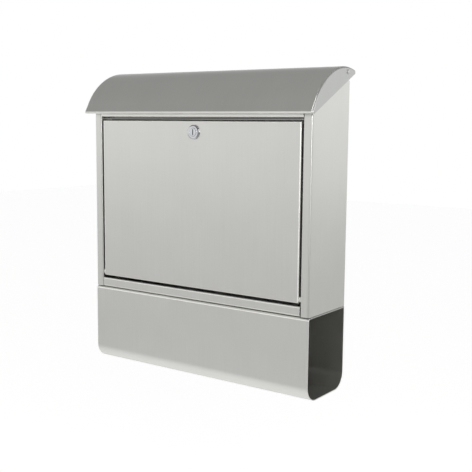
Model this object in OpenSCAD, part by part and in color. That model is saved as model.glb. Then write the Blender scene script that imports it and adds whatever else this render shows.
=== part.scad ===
// Wall-mounted letter box folded from stainless sheet, in millimetres.
// A curved hood lifts for posting, a locked front door drops down for emptying, and an
// open-ended tray below the case holds a rolled newspaper.
// Origin: centre of the wall-hole pattern, on the back face. +X right, +Y into the wall, +Z up.

/* [Sheet] */
// Thickness of the stainless sheet
sheet_t = 1; // [0.8:0.1:1.2]
// Outer radius of an ordinary bend
bend_r = 1.8; // [1.6:0.1:2.5]

/* [Case] */
// Width of the case across its sides
case_w = 360; // [320:5:420]
// Depth of the case from the wall to its front
case_d = 92; // [84:1:110]
// Height of the case from its floor to the hood's lower edge
case_h = 250; // [230:5:320]
// Width of each front stile
stile_w = 12.8; // [10:0.2:16]
// Height of the bottom rail, which is the floor pan's front flange
bottom_rail_h = 13.5; // [10:0.5:20]
// Height of the floor pan's side flanges
pan_flange_h = 12; // [8:1:20]
// Width of the dark seam between the case's lower edge and the tray
seam_gap = 0.4; // [0.3:0.1:0.8]

/* [Wall holes] */
// Radius of each wall hole
hole_r = 4; // [3:0.5:5]
// Distance between the left and right holes
hole_dx = 280; // [240:10:300]
// Distance between the upper and lower holes
hole_dz = 180; // [160:10:210]
// Depth of the upper holes below the hood's lower edge
hole_drop = 20; // [5:1:30]

/* [Top rail] */
// How far the rail's lower edge shows below the hood
rail_drop = 4.7; // [3:0.1:6]
// Height of the rail's top above the hood's lower edge
rail_rise = 12; // [9:0.5:13]
// Gap at each end of the rail's face
rail_end_gap = 2; // [1:0.5:3]
// Depth of the keeper's lower lip below the rail's lower edge
keeper_drop = 3; // [2.6:0.1:3.2]
// Reach of the keeper's lip towards the front
keeper_lip = 12; // [4:0.5:13]

/* [Hood] */
// Radius of the hood's outer face
hood_r = 86; // [80:1:100]
// Overhang of the hood's curve in front of the case
hood_overhang = 7.2; // [5:0.1:12]
// Gap between each side of the case and the hood's end cap
hood_side_gap = 6.5; // [5:0.5:10]
// Height of the straight lip below the hood's curve
hood_lip_h = 13; // [10:0.5:15]
// How far the lip's edge stands in front of the hood's curve
lip_flare = 7.3; // [5:0.1:9]
// Width of the flange that turns inwards from the lip's edge
lip_flange = 4; // [3.5:0.5:6]
// Height of the hood's rear edge above its lower edge
hood_rise = 55.4; // [50:0.2:60]
// Clearance between the hood's rear edge and the wall
hood_back_gap = 0.8; // [0.8:0.1:1.5]
// Distance of the hood's pivot from the wall
hood_pivot_in = 20.6; // [19:0.2:24]
// Radius of the ear that holds each hood pin
ear_r = 4.5; // [4:0.1:5]
// Gap between the hood sheet and the case sides below it
hood_rest_gap = 3.5; // [3:0.1:5]
// Angle at which the hood's rear edge meets its stop
hood_open = 35; // [30:1:38]

/* [Door] */
// Gap at each side of the door
door_gap = 3; // [2.5:0.1:4]
// Gap above the door, below the top rail's face
door_top_gap = 4.3; // [4.2:0.1:6]
// Gap below the door, above the bottom rail
door_bottom_gap = 3.7; // [3.4:0.1:6]
// Depth of the door's folded edges
door_depth = 15.2; // [13:0.1:18]
// Gap between the heads of the door's pins and the sheet in front of them and below them
door_pin_gap = 0.3; // [0.2:0.1:0.6]
// Overlap of each stop flange behind the door
stop_overlap = 2; // [1:0.5:4]

/* [Pins] */
// Radius of the hood's and the door's pins
pin_r = 2; // [1.5:0.1:2.2]
// Radial clearance of a turning pin
pin_play = 0.05; // [0.02:0.01:0.1]
// Radius of the pins' heads
pin_head_r = 3; // [2.7:0.1:3.3]
// Radius of the bushes in the door's side gaps and of the hood's spacers
bush_r = 3.5; // [3.2:0.1:3.7]
// Thickness of the clips that keep the pins in
clip_t = 0.7; // [0.5:0.1:1]

/* [Lock] */
// Depth of the lock's axis below the door's upper edge
lock_drop = 15.8; // [15:0.2:20]
// Radius of the lock's barrel
barrel_r = 8; // [7:0.5:8.5]
// Radius of the lock's front collar
collar_r = 9.5; // [9:0.5:11]
// Thickness of the lock's front collar
collar_t = 2; // [1.5:0.5:3]
// Radius of the turning plug
plug_r = 5.5; // [5:0.1:6]
// Width of the locking cam
cam_w = 9; // [7:0.5:11]
// Thickness of the locking cam
cam_t = 2; // [1.5:0.5:2.5]
// How far the locked cam reaches up behind the keeper
cam_bite = 4.9; // [3:0.1:6]

/* [Newspaper tray] */
// Height of the tray
tray_h = 109; // [95:1:140]
// Outer radius of the tray's lower bends
tray_r = 21; // [12:1:30]
// Radius of the rivets that hold the tray under the case
rivet_r = 2; // [1.5:0.1:2.5]

/* [Hidden] */
$fn = 64;
LEFT = -1;
RIGHT = 1;
// Sheets and pieces of one body touch; pieces that move past each other keep this gap.
running_gap = 0.3;
// Overcut of a cutting shape past the face that it leaves through
over = 1;

// Case
side_x = case_w / 2;
front_y = -case_d;
lip_z = hole_drop + hole_dz / 2;
floor_z = lip_z - case_h;
side_bottom_z = floor_z + seam_gap;
stile_x = side_x - stile_w;
stop_y = front_y + door_depth + running_gap;

// Hood arc, through the lip's top and the rear edge, on the sheet's middle line
hood_y = front_y - hood_overhang;
hood_mid_r = hood_r - sheet_t / 2;
hood_inner_r = hood_r - sheet_t;
hood_front = [hood_y + sheet_t / 2, lip_z + hood_lip_h];
hood_back = [-hood_back_gap - sheet_t / 4, lip_z + hood_rise - sheet_t / 2];
hood_centre = circle_centre(hood_front, hood_back, hood_mid_r);
hood_front_a = bearing(hood_front - hood_centre);
hood_back_a = bearing(hood_back - hood_centre);
hood_arc_steps = 48;
hood_half_w = side_x + hood_side_gap + sheet_t;
cap_x = side_x + hood_side_gap;
// Lip's edge, and the front corner of the end caps behind its flange
lip_edge = [hood_front[0] - lip_flare, lip_z + sheet_t / 2];
cap_gap = 0.4;
cap_front_y = lip_edge[0] + lip_flange + cap_gap;

// Hood pivot, one ear radius and a small gap inside the sheet
ear_gap = 1.1;
pivot_r = hood_inner_r - ear_r - ear_gap;
hood_pivot = [-hood_pivot_in,
    hood_centre[1] + sqrt(pow(pivot_r, 2) - pow(-hood_pivot_in - hood_centre[0], 2))];
side_top_r = hood_inner_r - hood_rest_gap;

// The case's rear edge stops the hood: it stands just below the sheet's swung rear edge
stop_gap = [0.5, 0.9];
hood_tip = hood_centre + hood_inner_r * direction(hood_back_a);
hood_tip_open = hood_pivot + turned(hood_tip - hood_pivot, -hood_open);
stop_corner = hood_tip_open - stop_gap;

// Top rail and keeper
rail_z = lip_z - rail_drop;
keeper_z = rail_z - keeper_drop;

// Door
door_x = stile_x - door_gap;
door_top_z = rail_z - door_top_gap;
door_bottom_z = floor_z + bottom_rail_h + door_bottom_gap;
door_pivot_in = sheet_t + pin_head_r + door_pin_gap;
door_pivot = [front_y + door_pivot_in, door_bottom_z + door_pivot_in];
// The stop flanges end above the pivot, where the door's rear edge swings inwards
stop_relief = 8;
stop_relief_z = door_pivot[1] + stop_relief;
door_pin_end_x = stile_x + sheet_t + running_gap + clip_t + 0.5;
door_head_t = 1;

// Hood pins
hood_head_t = 1;
hood_pin_end_x = side_x - sheet_t - running_gap - clip_t - 0.5;

// Lock
lock_z = door_top_z - lock_drop;
barrel_play = 0.1;
barrel_back_y = stop_y + 0.1;
cam_y = stop_y + 0.4;
cam_l = keeper_z + cam_bite - lock_z;
cam_hub_r = 7.5;
cam_square = 6;
plug_play = 0.05;
plug_front_y = front_y - collar_t - 0.3;
nut_t = 4;
nut_r = 11;
key_slot = [1.4, 4, 8];
stud_r = 2.5;
stud_l = 4.5;
cam_nut_t = 3;
cam_nut_r = 5.2;

// Tray
tray_z = floor_z - tray_h;
tray_seam = 0.6;
rivet_x = case_w / 3;
rivet_ys = [front_y + 24, -20];
rivet_head = [4, 1.2];
rivet_tail = [3, 1];

// Buffers, on the sloping top of each case side
buffer_t = 4;
buffer_grip = 4;
buffer_a = [hood_front_a - 10, hood_front_a - 18];

// ---- Plane geometry ----

function unit(v) = v / norm(v);
function left_of(v) = [-v[1], v[0]];
function direction(a) = [cos(a), sin(a)];
function bearing(v) = atan2(v[1], v[0]);
function turned(v, a) = [v[0] * cos(a) - v[1] * sin(a), v[0] * sin(a) + v[1] * cos(a)];
function turn_angle(u, v) = atan2(u[0] * v[1] - u[1] * v[0], u * v);
function reversed(list) = [for (i = [len(list) - 1:-1:0]) list[i]];

// Centre of the circle of radius r through a and b, on the right of the way from a to b
function circle_centre(a, b, r) =
    let (d = b - a) (a + b) / 2 - sqrt(r * r - d * d / 4) * unit(left_of(d));

// Where a line from the outside point q touches the circle (c, r), on its upper side
function tangent_point(q, c, r) =
    let (d = norm(c - q), a = bearing(c - q) - asin(r / d))
    q + sqrt(d * d - r * r) * direction(a);

function arc_points(c, r, a0, a1, steps) =
    [for (i = [0:steps]) c + r * direction(a0 + (a1 - a0) * i / steps)];

// One face of a folded sheet that follows a path along its middle line. Each corner has
// its outer bend radius; a corner of radius 0 is mitred. side is 1 for the left face.
function sheet_face(path, radii, side) = [
    for (i = [0:len(path) - 1]) each
        let (last = len(path) - 1,
             u = unit(path[max(i, 1)] - path[max(i, 1) - 1]),
             v = unit(path[min(i, last - 1) + 1] - path[min(i, last - 1)]))
        (i == 0 || i == last || radii[i] == 0)
        ? [path[i] + side * sheet_t / 2 * (left_of(u) + left_of(v)) / (1 + u * v)]
        : let (a = turn_angle(u, v),
               mid_r = radii[i] - sheet_t / 2,
               centre = path[i] - u * mid_r * tan(abs(a) / 2) + left_of(u) * mid_r * sign(a),
               arm = -left_of(u) * sign(a) * (mid_r - side * sign(a) * sheet_t / 2),
               steps = max(4, ceil(radii[i] / 1.5)))
          [for (k = [0:steps]) centre + turned(arm, a * k / steps)]
];

module folded_sheet(path, radii)
    polygon(concat(sheet_face(path, radii, 1), reversed(sheet_face(path, radii, -1))));

// Same bend radius at every corner of a path
function all_bends(path, r) = [for (p = path) r];

// ---- Placing ----

// A drawing in Y and Z, drawn out along X between x0 and x1
module along_x(x0, x1)
    translate([x0, 0, 0]) rotate([90, 0, 90]) linear_extrude(x1 - x0) children();

// A drawing in X and Z, drawn out along Y between y0 and y1
module along_y(y0, y1)
    translate([0, y1, 0]) rotate([90, 0, 0]) linear_extrude(y1 - y0) children();

module rod_x(x0, x1, at, r)
    translate([x0, at[0], at[1]]) rotate([0, 90, 0]) cylinder(h = x1 - x0, r = r);

module rod_y(y0, y1, at, r)
    translate([at[0], y1, at[1]]) rotate([90, 0, 0]) cylinder(h = y1 - y0, r = r);

module rod_z(z0, z1, at, r)
    translate([at[0], at[1], z0]) cylinder(h = z1 - z0, r = r);

module block(low, high) translate(low) cube(high - low);

// What is drawn on the right is mirrored for the left side
module on_side(side) {
    if (side == RIGHT) children();
    else mirror([1, 0, 0]) children();
}

// ---- Case ----

// Outline of the case's side: it follows the hood inside, with an ear for the pin
module side_outline() {
    ear_touch = tangent_point(stop_corner, hood_pivot, ear_r);
    translate([front_y, side_bottom_z]) square([case_d, hood_front[1] - side_bottom_z]);
    intersection() {
        translate(hood_centre) circle(r = side_top_r, $fn = 180);
        translate([front_y, lip_z]) square([-hood_pivot_in - front_y, hood_r]);
    }
    polygon([[-hood_pivot_in, lip_z], [0, lip_z], [0, stop_corner[1]], stop_corner,
        ear_touch, hood_pivot]);
    translate(hood_pivot) circle(r = ear_r);
}

// Plan of the wrapped sheet: stop flange, return, stile, side, back and the same again
function case_path() =
    let (stop_mid = stop_y + sheet_t / 2,
         return_mid = stile_x + sheet_t / 2,
         front_mid = front_y + sheet_t / 2,
         side_mid = side_x - sheet_t / 2,
         half = [[door_x - stop_overlap, stop_mid], [return_mid, stop_mid],
             [return_mid, front_mid], [side_mid, front_mid], [side_mid, -sheet_t / 2]])
    concat(half, [for (p = reversed(half)) [-p[0], p[1]]]);

module case_shell() color("silver") difference() {
    intersection() {
        translate([0, 0, side_bottom_z]) linear_extrude(case_h + hood_r)
            folded_sheet(case_path(), all_bends(case_path(), bend_r));
        along_x(-side_x - over, side_x + over) side_outline();
    }
    // Mouth: stiles and returns end at the top rail's height
    block([-side_x + bend_r, front_y - over, lip_z + rail_rise],
        [side_x - bend_r, stop_y + 2 * sheet_t, lip_z + hood_r]);
    // Relief in the stop flanges beside the door's pivots
    block([-stile_x - sheet_t, stop_y, floor_z - over],
        [stile_x + sheet_t, stop_y + 2 * sheet_t, stop_relief_z]);
    for (x = [-1, 1], z = [-1, 1])
        rod_y(-sheet_t - over, over, [x * hole_dx / 2, z * hole_dz / 2], hole_r);
    for (s = [LEFT, RIGHT]) on_side(s) {
        rod_x(side_x - sheet_t - over, side_x + over, hood_pivot, pin_r + pin_play);
        rod_x(stile_x - over, stile_x + sheet_t + over, door_pivot, pin_r + pin_play);
    }
}

module floor_pan() color("gainsboro") {
    floor_mid = floor_z + sheet_t / 2;
    front_half = stile_x - 2 * seam_gap;
    flange_mid = side_x - 1.5 * sheet_t;
    front = [[front_y + sheet_t / 2, floor_z + bottom_rail_h],
        [front_y + sheet_t / 2, floor_mid], [-sheet_t, floor_mid]];
    wide = [[-flange_mid, floor_z + pan_flange_h], [-flange_mid, floor_mid],
        [flange_mid, floor_mid], [flange_mid, floor_z + pan_flange_h]];
    difference() {
        union() {
            along_x(-front_half, front_half) folded_sheet(front, all_bends(front, bend_r));
            along_y(stop_y + 3 * sheet_t, -2 * sheet_t)
                folded_sheet(wide, all_bends(wide, bend_r));
        }
        rivet_shanks(floor_z - over, floor_z + sheet_t + over);
    }
}

// Channel along the mouth; its rear flange is the keeper that the lock's cam goes behind
module top_rail() color("gainsboro") {
    half_w = stile_x - 2 * seam_gap;
    keeper_mid = stop_y - sheet_t / 2;
    path = [[front_y + sheet_t / 2, rail_z],
        [front_y + sheet_t / 2, lip_z + rail_rise - sheet_t / 2],
        [keeper_mid, lip_z + rail_rise - sheet_t / 2],
        [keeper_mid, keeper_z + sheet_t / 2],
        [keeper_mid - keeper_lip, keeper_z + sheet_t / 2]];
    difference() {
        along_x(-half_w, half_w) folded_sheet(path, all_bends(path, bend_r));
        for (s = [LEFT, RIGHT]) on_side(s)
            block([stile_x - rail_end_gap, front_y - over, keeper_z - over],
                [stile_x + over, stop_y - bend_r, lip_z + rail_rise + over]);
    }
}

// ---- Newspaper tray ----

module rivet_shanks(z0, z1)
    for (x = [-rivet_x, rivet_x], y = rivet_ys) rod_z(z0, z1, [x, y], rivet_r);

module newspaper_tray() color("silver") {
    mid = sheet_t / 2;
    path = [[-sheet_t - tray_seam, floor_z - mid], [front_y + mid, floor_z - mid],
        [front_y + mid, tray_z + mid], [-mid, tray_z + mid], [-mid, floor_z]];
    difference() {
        along_x(-side_x, side_x) folded_sheet(path, [0, bend_r, tray_r, tray_r, 0]);
        rivet_shanks(floor_z - sheet_t - over, floor_z + over);
    }
}

module tray_rivets() color("darkgray") {
    rivet_shanks(floor_z - sheet_t, floor_z + sheet_t);
    for (x = [-rivet_x, rivet_x], y = rivet_ys) {
        rod_z(floor_z + sheet_t, floor_z + sheet_t + rivet_head[1], [x, y], rivet_head[0]);
        rod_z(floor_z - sheet_t - rivet_tail[1], floor_z - sheet_t, [x, y], rivet_tail[0]);
    }
}

// ---- Hood ----

module hood_sheet() color("darkgray") {
    arc = arc_points(hood_centre, hood_mid_r, hood_back_a, hood_front_a, hood_arc_steps);
    path = concat(arc, [lip_edge, lip_edge + [lip_flange, 0]]);
    radii = concat([for (p = arc) 0], [bend_r, 0]);
    along_x(-hood_half_w, hood_half_w) folded_sheet(path, radii);
}

// Segment between the hood's arc and a straight lower edge, inside the sheet's end
module hood_end_cap(side) color("silver") on_side(side) difference() {
    lip_back = [cap_front_y, lip_z];
    rear = [hood_tip[0], lip_z + hood_rise - 3 * sheet_t];
    along_x(cap_x, hood_half_w) intersection() {
        translate(hood_centre) circle(r = hood_inner_r, $fn = 180);
        polygon([lip_back, rear, [rear[0], lip_z + hood_r], [lip_back[0], lip_z + hood_r]]);
    }
    rod_x(cap_x - over, hood_half_w + over, hood_pivot, pin_r);
}

module hood_pin(side) color("dimgray") on_side(side) {
    rod_x(hood_pin_end_x, hood_half_w, hood_pivot, pin_r);
    rod_x(hood_half_w, hood_half_w + hood_head_t, hood_pivot, pin_head_r);
}

module ring_x(x0, x1, at, r, bore) difference() {
    rod_x(x0, x1, at, r);
    rod_x(x0 - over, x1 + over, at, bore);
}

module hood_spacer(side) color("whitesmoke") on_side(side)
    ring_x(side_x + running_gap, cap_x, hood_pivot, bush_r, pin_r + pin_play);

module hood_clip(side) color("dimgray") on_side(side)
    ring_x(side_x - sheet_t - running_gap - clip_t, side_x - sheet_t - running_gap,
        hood_pivot, pin_head_r, pin_r);

// Rubber pad that grips the case side's edge and stops the closed hood
module hood_buffer(side) color("black") on_side(side) {
    slot_x = side_x - sheet_t;
    pad_r = hood_inner_r - running_gap;
    mid_x = side_x - sheet_t / 2;
    difference() {
        along_x(mid_x - buffer_t / 2, mid_x + buffer_t / 2)
            polygon(concat(
                arc_points(hood_centre, pad_r, buffer_a[0], buffer_a[1], 8),
                arc_points(hood_centre, side_top_r - buffer_grip, buffer_a[1], buffer_a[0], 8)));
        along_x(slot_x, side_x) translate(hood_centre) circle(r = side_top_r, $fn = 180);
    }
}

// ---- Door ----

// Rectangle in width and depth whose two front corners are rounded
module rounded_front(half_w, front, back, r) {
    left = arc_points([-half_w + r, front + r], r, 180, 270, 6);
    right = arc_points([half_w - r, front + r], r, 270, 360, 6);
    polygon(concat(left, right, [[half_w, back], [-half_w, back]]));
}

// The same in depth and height
module rounded_upright(z0, z1, front, back, r) {
    lower = arc_points([front + r, z0 + r], r, 270, 180, 6);
    upper = arc_points([front + r, z1 - r], r, 180, 90, 6);
    polygon(concat(lower, upper, [[back, z1], [back, z0]]));
}

module pan_block(inset, r, back) intersection() {
    half_w = door_x - inset;
    translate([0, 0, door_bottom_z - over]) linear_extrude(door_top_z - door_bottom_z + 2 * over)
        rounded_front(half_w, front_y + inset, back, r);
    along_x(-door_x - over, door_x + over)
        rounded_upright(door_bottom_z + inset, door_top_z - inset, front_y + inset, back, r);
}

module door_panel() color("gainsboro") difference() {
    pan_block(0, bend_r, front_y + door_depth);
    pan_block(sheet_t, bend_r - sheet_t, front_y + door_depth + over);
    rod_y(front_y - over, front_y + sheet_t + over, [0, lock_z], barrel_r + barrel_play);
    for (s = [LEFT, RIGHT]) on_side(s)
        rod_x(door_x - sheet_t - over, door_x + over, door_pivot, pin_r);
}

module door_pin(side) color("dimgray") on_side(side) {
    rod_x(door_x - sheet_t, door_pin_end_x, door_pivot, pin_r);
    rod_x(door_x - sheet_t - door_head_t, door_x - sheet_t, door_pivot, pin_head_r);
}

module door_bush(side) color("whitesmoke") on_side(side)
    ring_x(door_x, stile_x - running_gap / 2, door_pivot, bush_r, pin_r + pin_play);

module door_clip(side) color("dimgray") on_side(side)
    ring_x(stile_x + sheet_t + running_gap, stile_x + sheet_t + running_gap + clip_t,
        door_pivot, pin_head_r, pin_r);

// ---- Lock ----

module lock_housing() color("silver") difference() {
    union() {
        rod_y(front_y - collar_t, front_y, [0, lock_z], collar_r);
        rod_y(front_y, barrel_back_y, [0, lock_z], barrel_r);
    }
    rod_y(front_y - collar_t - over, barrel_back_y + over, [0, lock_z], plug_r + plug_play);
}

module lock_nut() color("dimgray") difference() {
    translate([0, front_y + sheet_t + nut_t, lock_z]) rotate([90, 0, 0])
        cylinder(h = nut_t, r = nut_r, $fn = 6);
    rod_y(front_y, front_y + 3 * nut_t, [0, lock_z], barrel_r + plug_play);
}

// Turning plug: key slot in front, square for the cam and a stud behind
module lock_plug() color("silver") {
    half = cam_square / 2;
    difference() {
        rod_y(plug_front_y, cam_y, [0, lock_z], plug_r);
        translate([-key_slot[0] / 2, plug_front_y - over, lock_z - key_slot[2] / 2])
            cube([key_slot[0], key_slot[1] + over, key_slot[2]]);
    }
    block([-half, cam_y, lock_z - half], [half, cam_y + cam_t, lock_z + half]);
    rod_y(cam_y + cam_t, cam_y + cam_t + stud_l, [0, lock_z], stud_r);
}

// The cam points left while the lock is open and up behind the keeper once it is locked
module lock_cam() color("darkgray")
    along_y(cam_y, cam_y + cam_t) translate([0, lock_z]) difference() {
        union() {
            circle(r = cam_hub_r);
            translate([-cam_l + cam_w / 2, -cam_w / 2]) square([cam_l - cam_w / 2, cam_w]);
            translate([-cam_l + cam_w / 2, 0]) circle(r = cam_w / 2);
        }
        square(cam_square, center = true);
    }

module cam_nut() color("dimgray") difference() {
    translate([0, cam_y + cam_t + cam_nut_t, lock_z]) rotate([90, 0, 0])
        cylinder(h = cam_nut_t, r = cam_nut_r, $fn = 6);
    rod_y(cam_y, cam_y + 3 * cam_nut_t, [0, lock_z], stud_r);
}

// ---- Nodes ----

case_shell();
floor_pan();
top_rail();
newspaper_tray();
tray_rivets();
hood_buffer(LEFT);  // hood_buffer_left
hood_buffer(RIGHT);  // hood_buffer_right
hood_sheet();
hood_end_cap(LEFT);  // hood_end_cap_left
hood_end_cap(RIGHT);  // hood_end_cap_right
hood_pin(LEFT);  // hood_pin_left
hood_pin(RIGHT);  // hood_pin_right
hood_spacer(LEFT);  // hood_spacer_left
hood_spacer(RIGHT);  // hood_spacer_right
hood_clip(LEFT);  // hood_clip_left
hood_clip(RIGHT);  // hood_clip_right
door_panel();
door_pin(LEFT);  // door_pin_left
door_pin(RIGHT);  // door_pin_right
door_bush(LEFT);  // door_bush_left
door_bush(RIGHT);  // door_bush_right
door_clip(LEFT);  // door_clip_left
door_clip(RIGHT);  // door_clip_right
lock_housing();
lock_nut();
lock_plug();
lock_cam();
cam_nut();
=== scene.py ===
"""Wall-mounted mailbox of folded satin stainless sheet.

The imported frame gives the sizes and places. Each sub-assembly is a class that builds its
own folded, rolled or turned pieces and dresses them, and main() puts the box together.
"""

import logging
import math
from dataclasses import dataclass, field
from enum import Enum
from typing import Callable, ClassVar, Iterable, Sequence

import bmesh
import bpy
from mathutils import Matrix, Vector


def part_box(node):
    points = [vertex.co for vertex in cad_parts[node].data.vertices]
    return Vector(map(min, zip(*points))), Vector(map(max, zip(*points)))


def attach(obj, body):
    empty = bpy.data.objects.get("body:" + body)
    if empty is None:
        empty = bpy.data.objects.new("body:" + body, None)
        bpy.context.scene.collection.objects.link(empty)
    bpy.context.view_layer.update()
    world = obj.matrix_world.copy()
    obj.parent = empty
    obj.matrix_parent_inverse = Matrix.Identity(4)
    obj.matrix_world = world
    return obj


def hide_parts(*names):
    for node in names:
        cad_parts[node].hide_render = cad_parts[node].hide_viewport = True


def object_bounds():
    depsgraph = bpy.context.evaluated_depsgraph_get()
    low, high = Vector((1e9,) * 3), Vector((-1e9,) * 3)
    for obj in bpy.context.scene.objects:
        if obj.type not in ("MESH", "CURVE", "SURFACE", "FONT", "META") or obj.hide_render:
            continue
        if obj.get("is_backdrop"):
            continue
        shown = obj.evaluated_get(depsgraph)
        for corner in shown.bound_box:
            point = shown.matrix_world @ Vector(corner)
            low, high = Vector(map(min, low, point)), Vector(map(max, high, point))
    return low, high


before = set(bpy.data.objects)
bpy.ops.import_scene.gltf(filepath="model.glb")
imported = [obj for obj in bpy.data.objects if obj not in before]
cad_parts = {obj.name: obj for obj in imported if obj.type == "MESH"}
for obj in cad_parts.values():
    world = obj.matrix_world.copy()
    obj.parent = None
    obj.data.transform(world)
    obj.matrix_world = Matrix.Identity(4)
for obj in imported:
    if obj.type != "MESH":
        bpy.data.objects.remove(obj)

LOG = logging.getLogger("mailbox")
MM = 0.001
SHEET = 1.0 * MM
BEND = 1.8 * MM
EDGE = 0.18 * MM
# Angles of the points that draw a rounding
EASE_ANGLES = tuple(math.radians(a) for a in (0.0, 22.5, 45.0, 67.5, 90.0))
# Most that a rounding takes of a side, and the turn and the reach below which it is left out
SIDE_SHARE, LEAST_TURN, LEAST_REACH = 0.45, 1e-3, 1e-8
# Most that the rounding of a sheet's end takes of its thickness
END_SHARE = 0.4
# Limits the stretch of a sharp corner in an inset
SHARPEST = 0.2
WELD = 1e-7
# Shading: from which angle an edge is sharp, and how much the large faces lead
SHARP_EDGE, FLAT_WEIGHT = math.radians(38), 60
# Face attribute for painted light on the sheet: above 0 a painted highlight, below 0 painted shade
PAINTED_LIGHT = "burnish"
# Bends and edges that take the painted highlight are known by faces narrower than this that
# turn more than this, and that don't look down
HIGHLIGHT_WIDTH, HIGHLIGHT_TURN, HIGHLIGHT_FALL = 0.5 * MM, math.radians(5), -0.05
# Hinge pins, and the holes that they turn in
PIN_R, PIN_HOLE = 2 * MM, 2.05 * MM
RING_EASE = 0.4 * MM
# Longest stretch of a mesh where a sheet is cut to a curve
FINE = 2 * MM
# How far a drill goes past a sheet's face
THROUGH = 3 * MM

Mesh = bpy.types.Mesh
Face = bpy.types.MeshPolygon
Object = bpy.types.Object
Tree = bpy.types.NodeTree
Socket = bpy.types.NodeSocket
Pair = tuple[float, float]
Ends = Callable[[Vector], Pair]
Place = Callable[[Vector, float], Vector]


# ---- Plane geometry ----


def left_of(way: Vector) -> Vector:
    """Turns a plane vector a quarter to the left."""
    return Vector((-way.y, way.x))


def turned_by(arm: Vector, angle: float) -> Vector:
    """Turns a plane vector by an angle in radians."""
    c, s = math.cos(angle), math.sin(angle)
    return Vector((arm.x * c - arm.y * s, arm.x * s + arm.y * c))


def turn_between(first: Vector, second: Vector) -> float:
    """Angle in radians from one plane direction to the next, left positive."""
    return math.atan2(first.x * second.y - first.y * second.x, first.dot(second))


def ray(bearing: float) -> Vector:
    """Plane unit vector at a bearing in radians."""
    return Vector((math.cos(bearing), math.sin(bearing)))


def rounding(radius: float, angle: float) -> Pair:
    """How far a rounding's point lies behind the end and inside the side, at an angle."""
    return radius * (1 - math.cos(angle)), radius * (1 - math.sin(angle))


def points(*pairs: Pair) -> list[Vector]:
    """Makes plane points of pairs."""
    return [Vector(pair) for pair in pairs]


def rectangle(low: Vector, high: Vector) -> list[Vector]:
    """Corners of a rectangle, anticlockwise from the lower left."""
    return points(low, (high.x, low.y), high, (low.x, high.y))


def about(centre: Vector, half_w: float, half_h: float) -> list[Vector]:
    """Corners of a rectangle about its centre."""
    return rectangle(Vector((centre.x - half_w, centre.y - half_h)),
                     Vector((centre.x + half_w, centre.y + half_h)))


def arc(centre: Vector, radius: float, start: float, end: float, steps: int) -> list[Vector]:
    """Points along an arc.

    Args:
        centre: Centre of the arc.
        radius: Its radius.
        start: Bearing of the first point in radians.
        end: Bearing of the last point in radians.
        steps: Number of equal steps.

    Returns:
        steps + 1 points.
    """
    angles = (start + (end - start) * i / steps for i in range(steps + 1))
    return [centre + radius * ray(a) for a in angles]


def eased(corners: Sequence[Vector], radius: float, closed: bool, steps: int = 3) -> list[Vector]:
    """Rounds the corners of a line of plane points.

    Args:
        corners: The line's corners.
        radius: Radius of each rounding, less where a side is too short.
        closed: Whether the last point joins the first.
        steps: Number of chords in each rounding.

    Returns:
        The points of the rounded line.
    """
    made: list[Vector] = []
    count = len(corners)
    for i, corner in enumerate(corners):
        if not closed and i in (0, count - 1):
            made.append(corner.copy())
            continue
        before = corner - corners[i - 1]
        after = corners[(i + 1) % count] - corner
        turn = turn_between(before, after)
        half = math.tan(abs(turn) / 2)
        reach = min(radius * half, before.length * SIDE_SHARE, after.length * SIDE_SHARE)
        if half < LEAST_TURN or reach < LEAST_REACH:
            made.append(corner.copy())
            continue
        start = corner - before.normalized() * reach
        centre = start + left_of(before.normalized()) * math.copysign(reach / half, turn)
        made += [centre + turned_by(start - centre, turn * k / steps) for k in range(steps + 1)]
    return made


def inset(corners: Sequence[Vector], depth: float) -> list[Vector]:
    """Moves each side of a closed outline inwards.

    Args:
        corners: Its corners, anticlockwise.
        depth: How far each side moves.

    Returns:
        The corners of the smaller outline.
    """
    made = []
    for i, corner in enumerate(corners):
        before = (corner - corners[i - 1]).normalized()
        after = (corners[(i + 1) % len(corners)] - corner).normalized()
        normal = left_of(before) + left_of(after)
        made.append(corner + normal * (depth / max(1 + before.dot(after), SHARPEST)))
    return made


# ---- Meshes ----


def linked(name: str, data: bpy.types.ID) -> Object:
    """Makes an object and links it to the scene.

    Args:
        name: Name of the object.
        data: Its mesh, camera or lamp.

    Returns:
        The new object.
    """
    made = bpy.data.objects.new(name, data)
    bpy.context.scene.collection.objects.link(made)
    return made


def closed_mesh(name: str, bm: bmesh.types.BMesh) -> Mesh:
    """Welds a shell's doubles and points its faces outwards.

    Args:
        name: Name of the mesh.
        bm: The shell, which is freed.

    Returns:
        The shell as a mesh.
    """
    bmesh.ops.remove_doubles(bm, verts=bm.verts, dist=WELD)
    bmesh.ops.recalc_face_normals(bm, faces=bm.faces)
    mesh = bpy.data.meshes.new(name)
    bm.to_mesh(mesh)
    bm.free()
    return mesh


def skin(name: str, rings: Sequence[Sequence[Vector]], ring_shaped: bool = False) -> Mesh:
    """Covers a row of rings with faces.

    Args:
        name: Name of the mesh.
        rings: Rings with the same number of points each.
        ring_shaped: True where the last ring joins the first, as in a tube.

    Returns:
        A closed mesh, with flat caps unless it is ring-shaped.
    """
    bm = bmesh.new()
    rows = [[bm.verts.new(p) for p in ring] for ring in rings]
    count = len(rows[0])
    pairs = list(zip(rows, rows[1:]))
    if ring_shaped:
        pairs.append((rows[-1], rows[0]))
    for low, high in pairs:
        for i in range(count):
            k = (i + 1) % count
            bm.faces.new((low[i], low[k], high[k], high[i]))
    if not ring_shaped:
        bm.faces.new(rows[0])
        bm.faces.new(rows[-1])
    return closed_mesh(name, bm)


def evaluated(mesh: Mesh, prepare: Callable[[Object], None]) -> Mesh:
    """Runs a modifier over a mesh and returns the result as a plain mesh.

    Args:
        mesh: The mesh to start from.
        prepare: Adds the modifier to the object that carries the mesh.

    Returns:
        The evaluated mesh.
    """
    carrier = linked("carrier", mesh)
    prepare(carrier)
    graph = bpy.context.evaluated_depsgraph_get()
    made = bpy.data.meshes.new_from_object(carrier.evaluated_get(graph))
    bpy.data.objects.remove(carrier)
    return made


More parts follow.
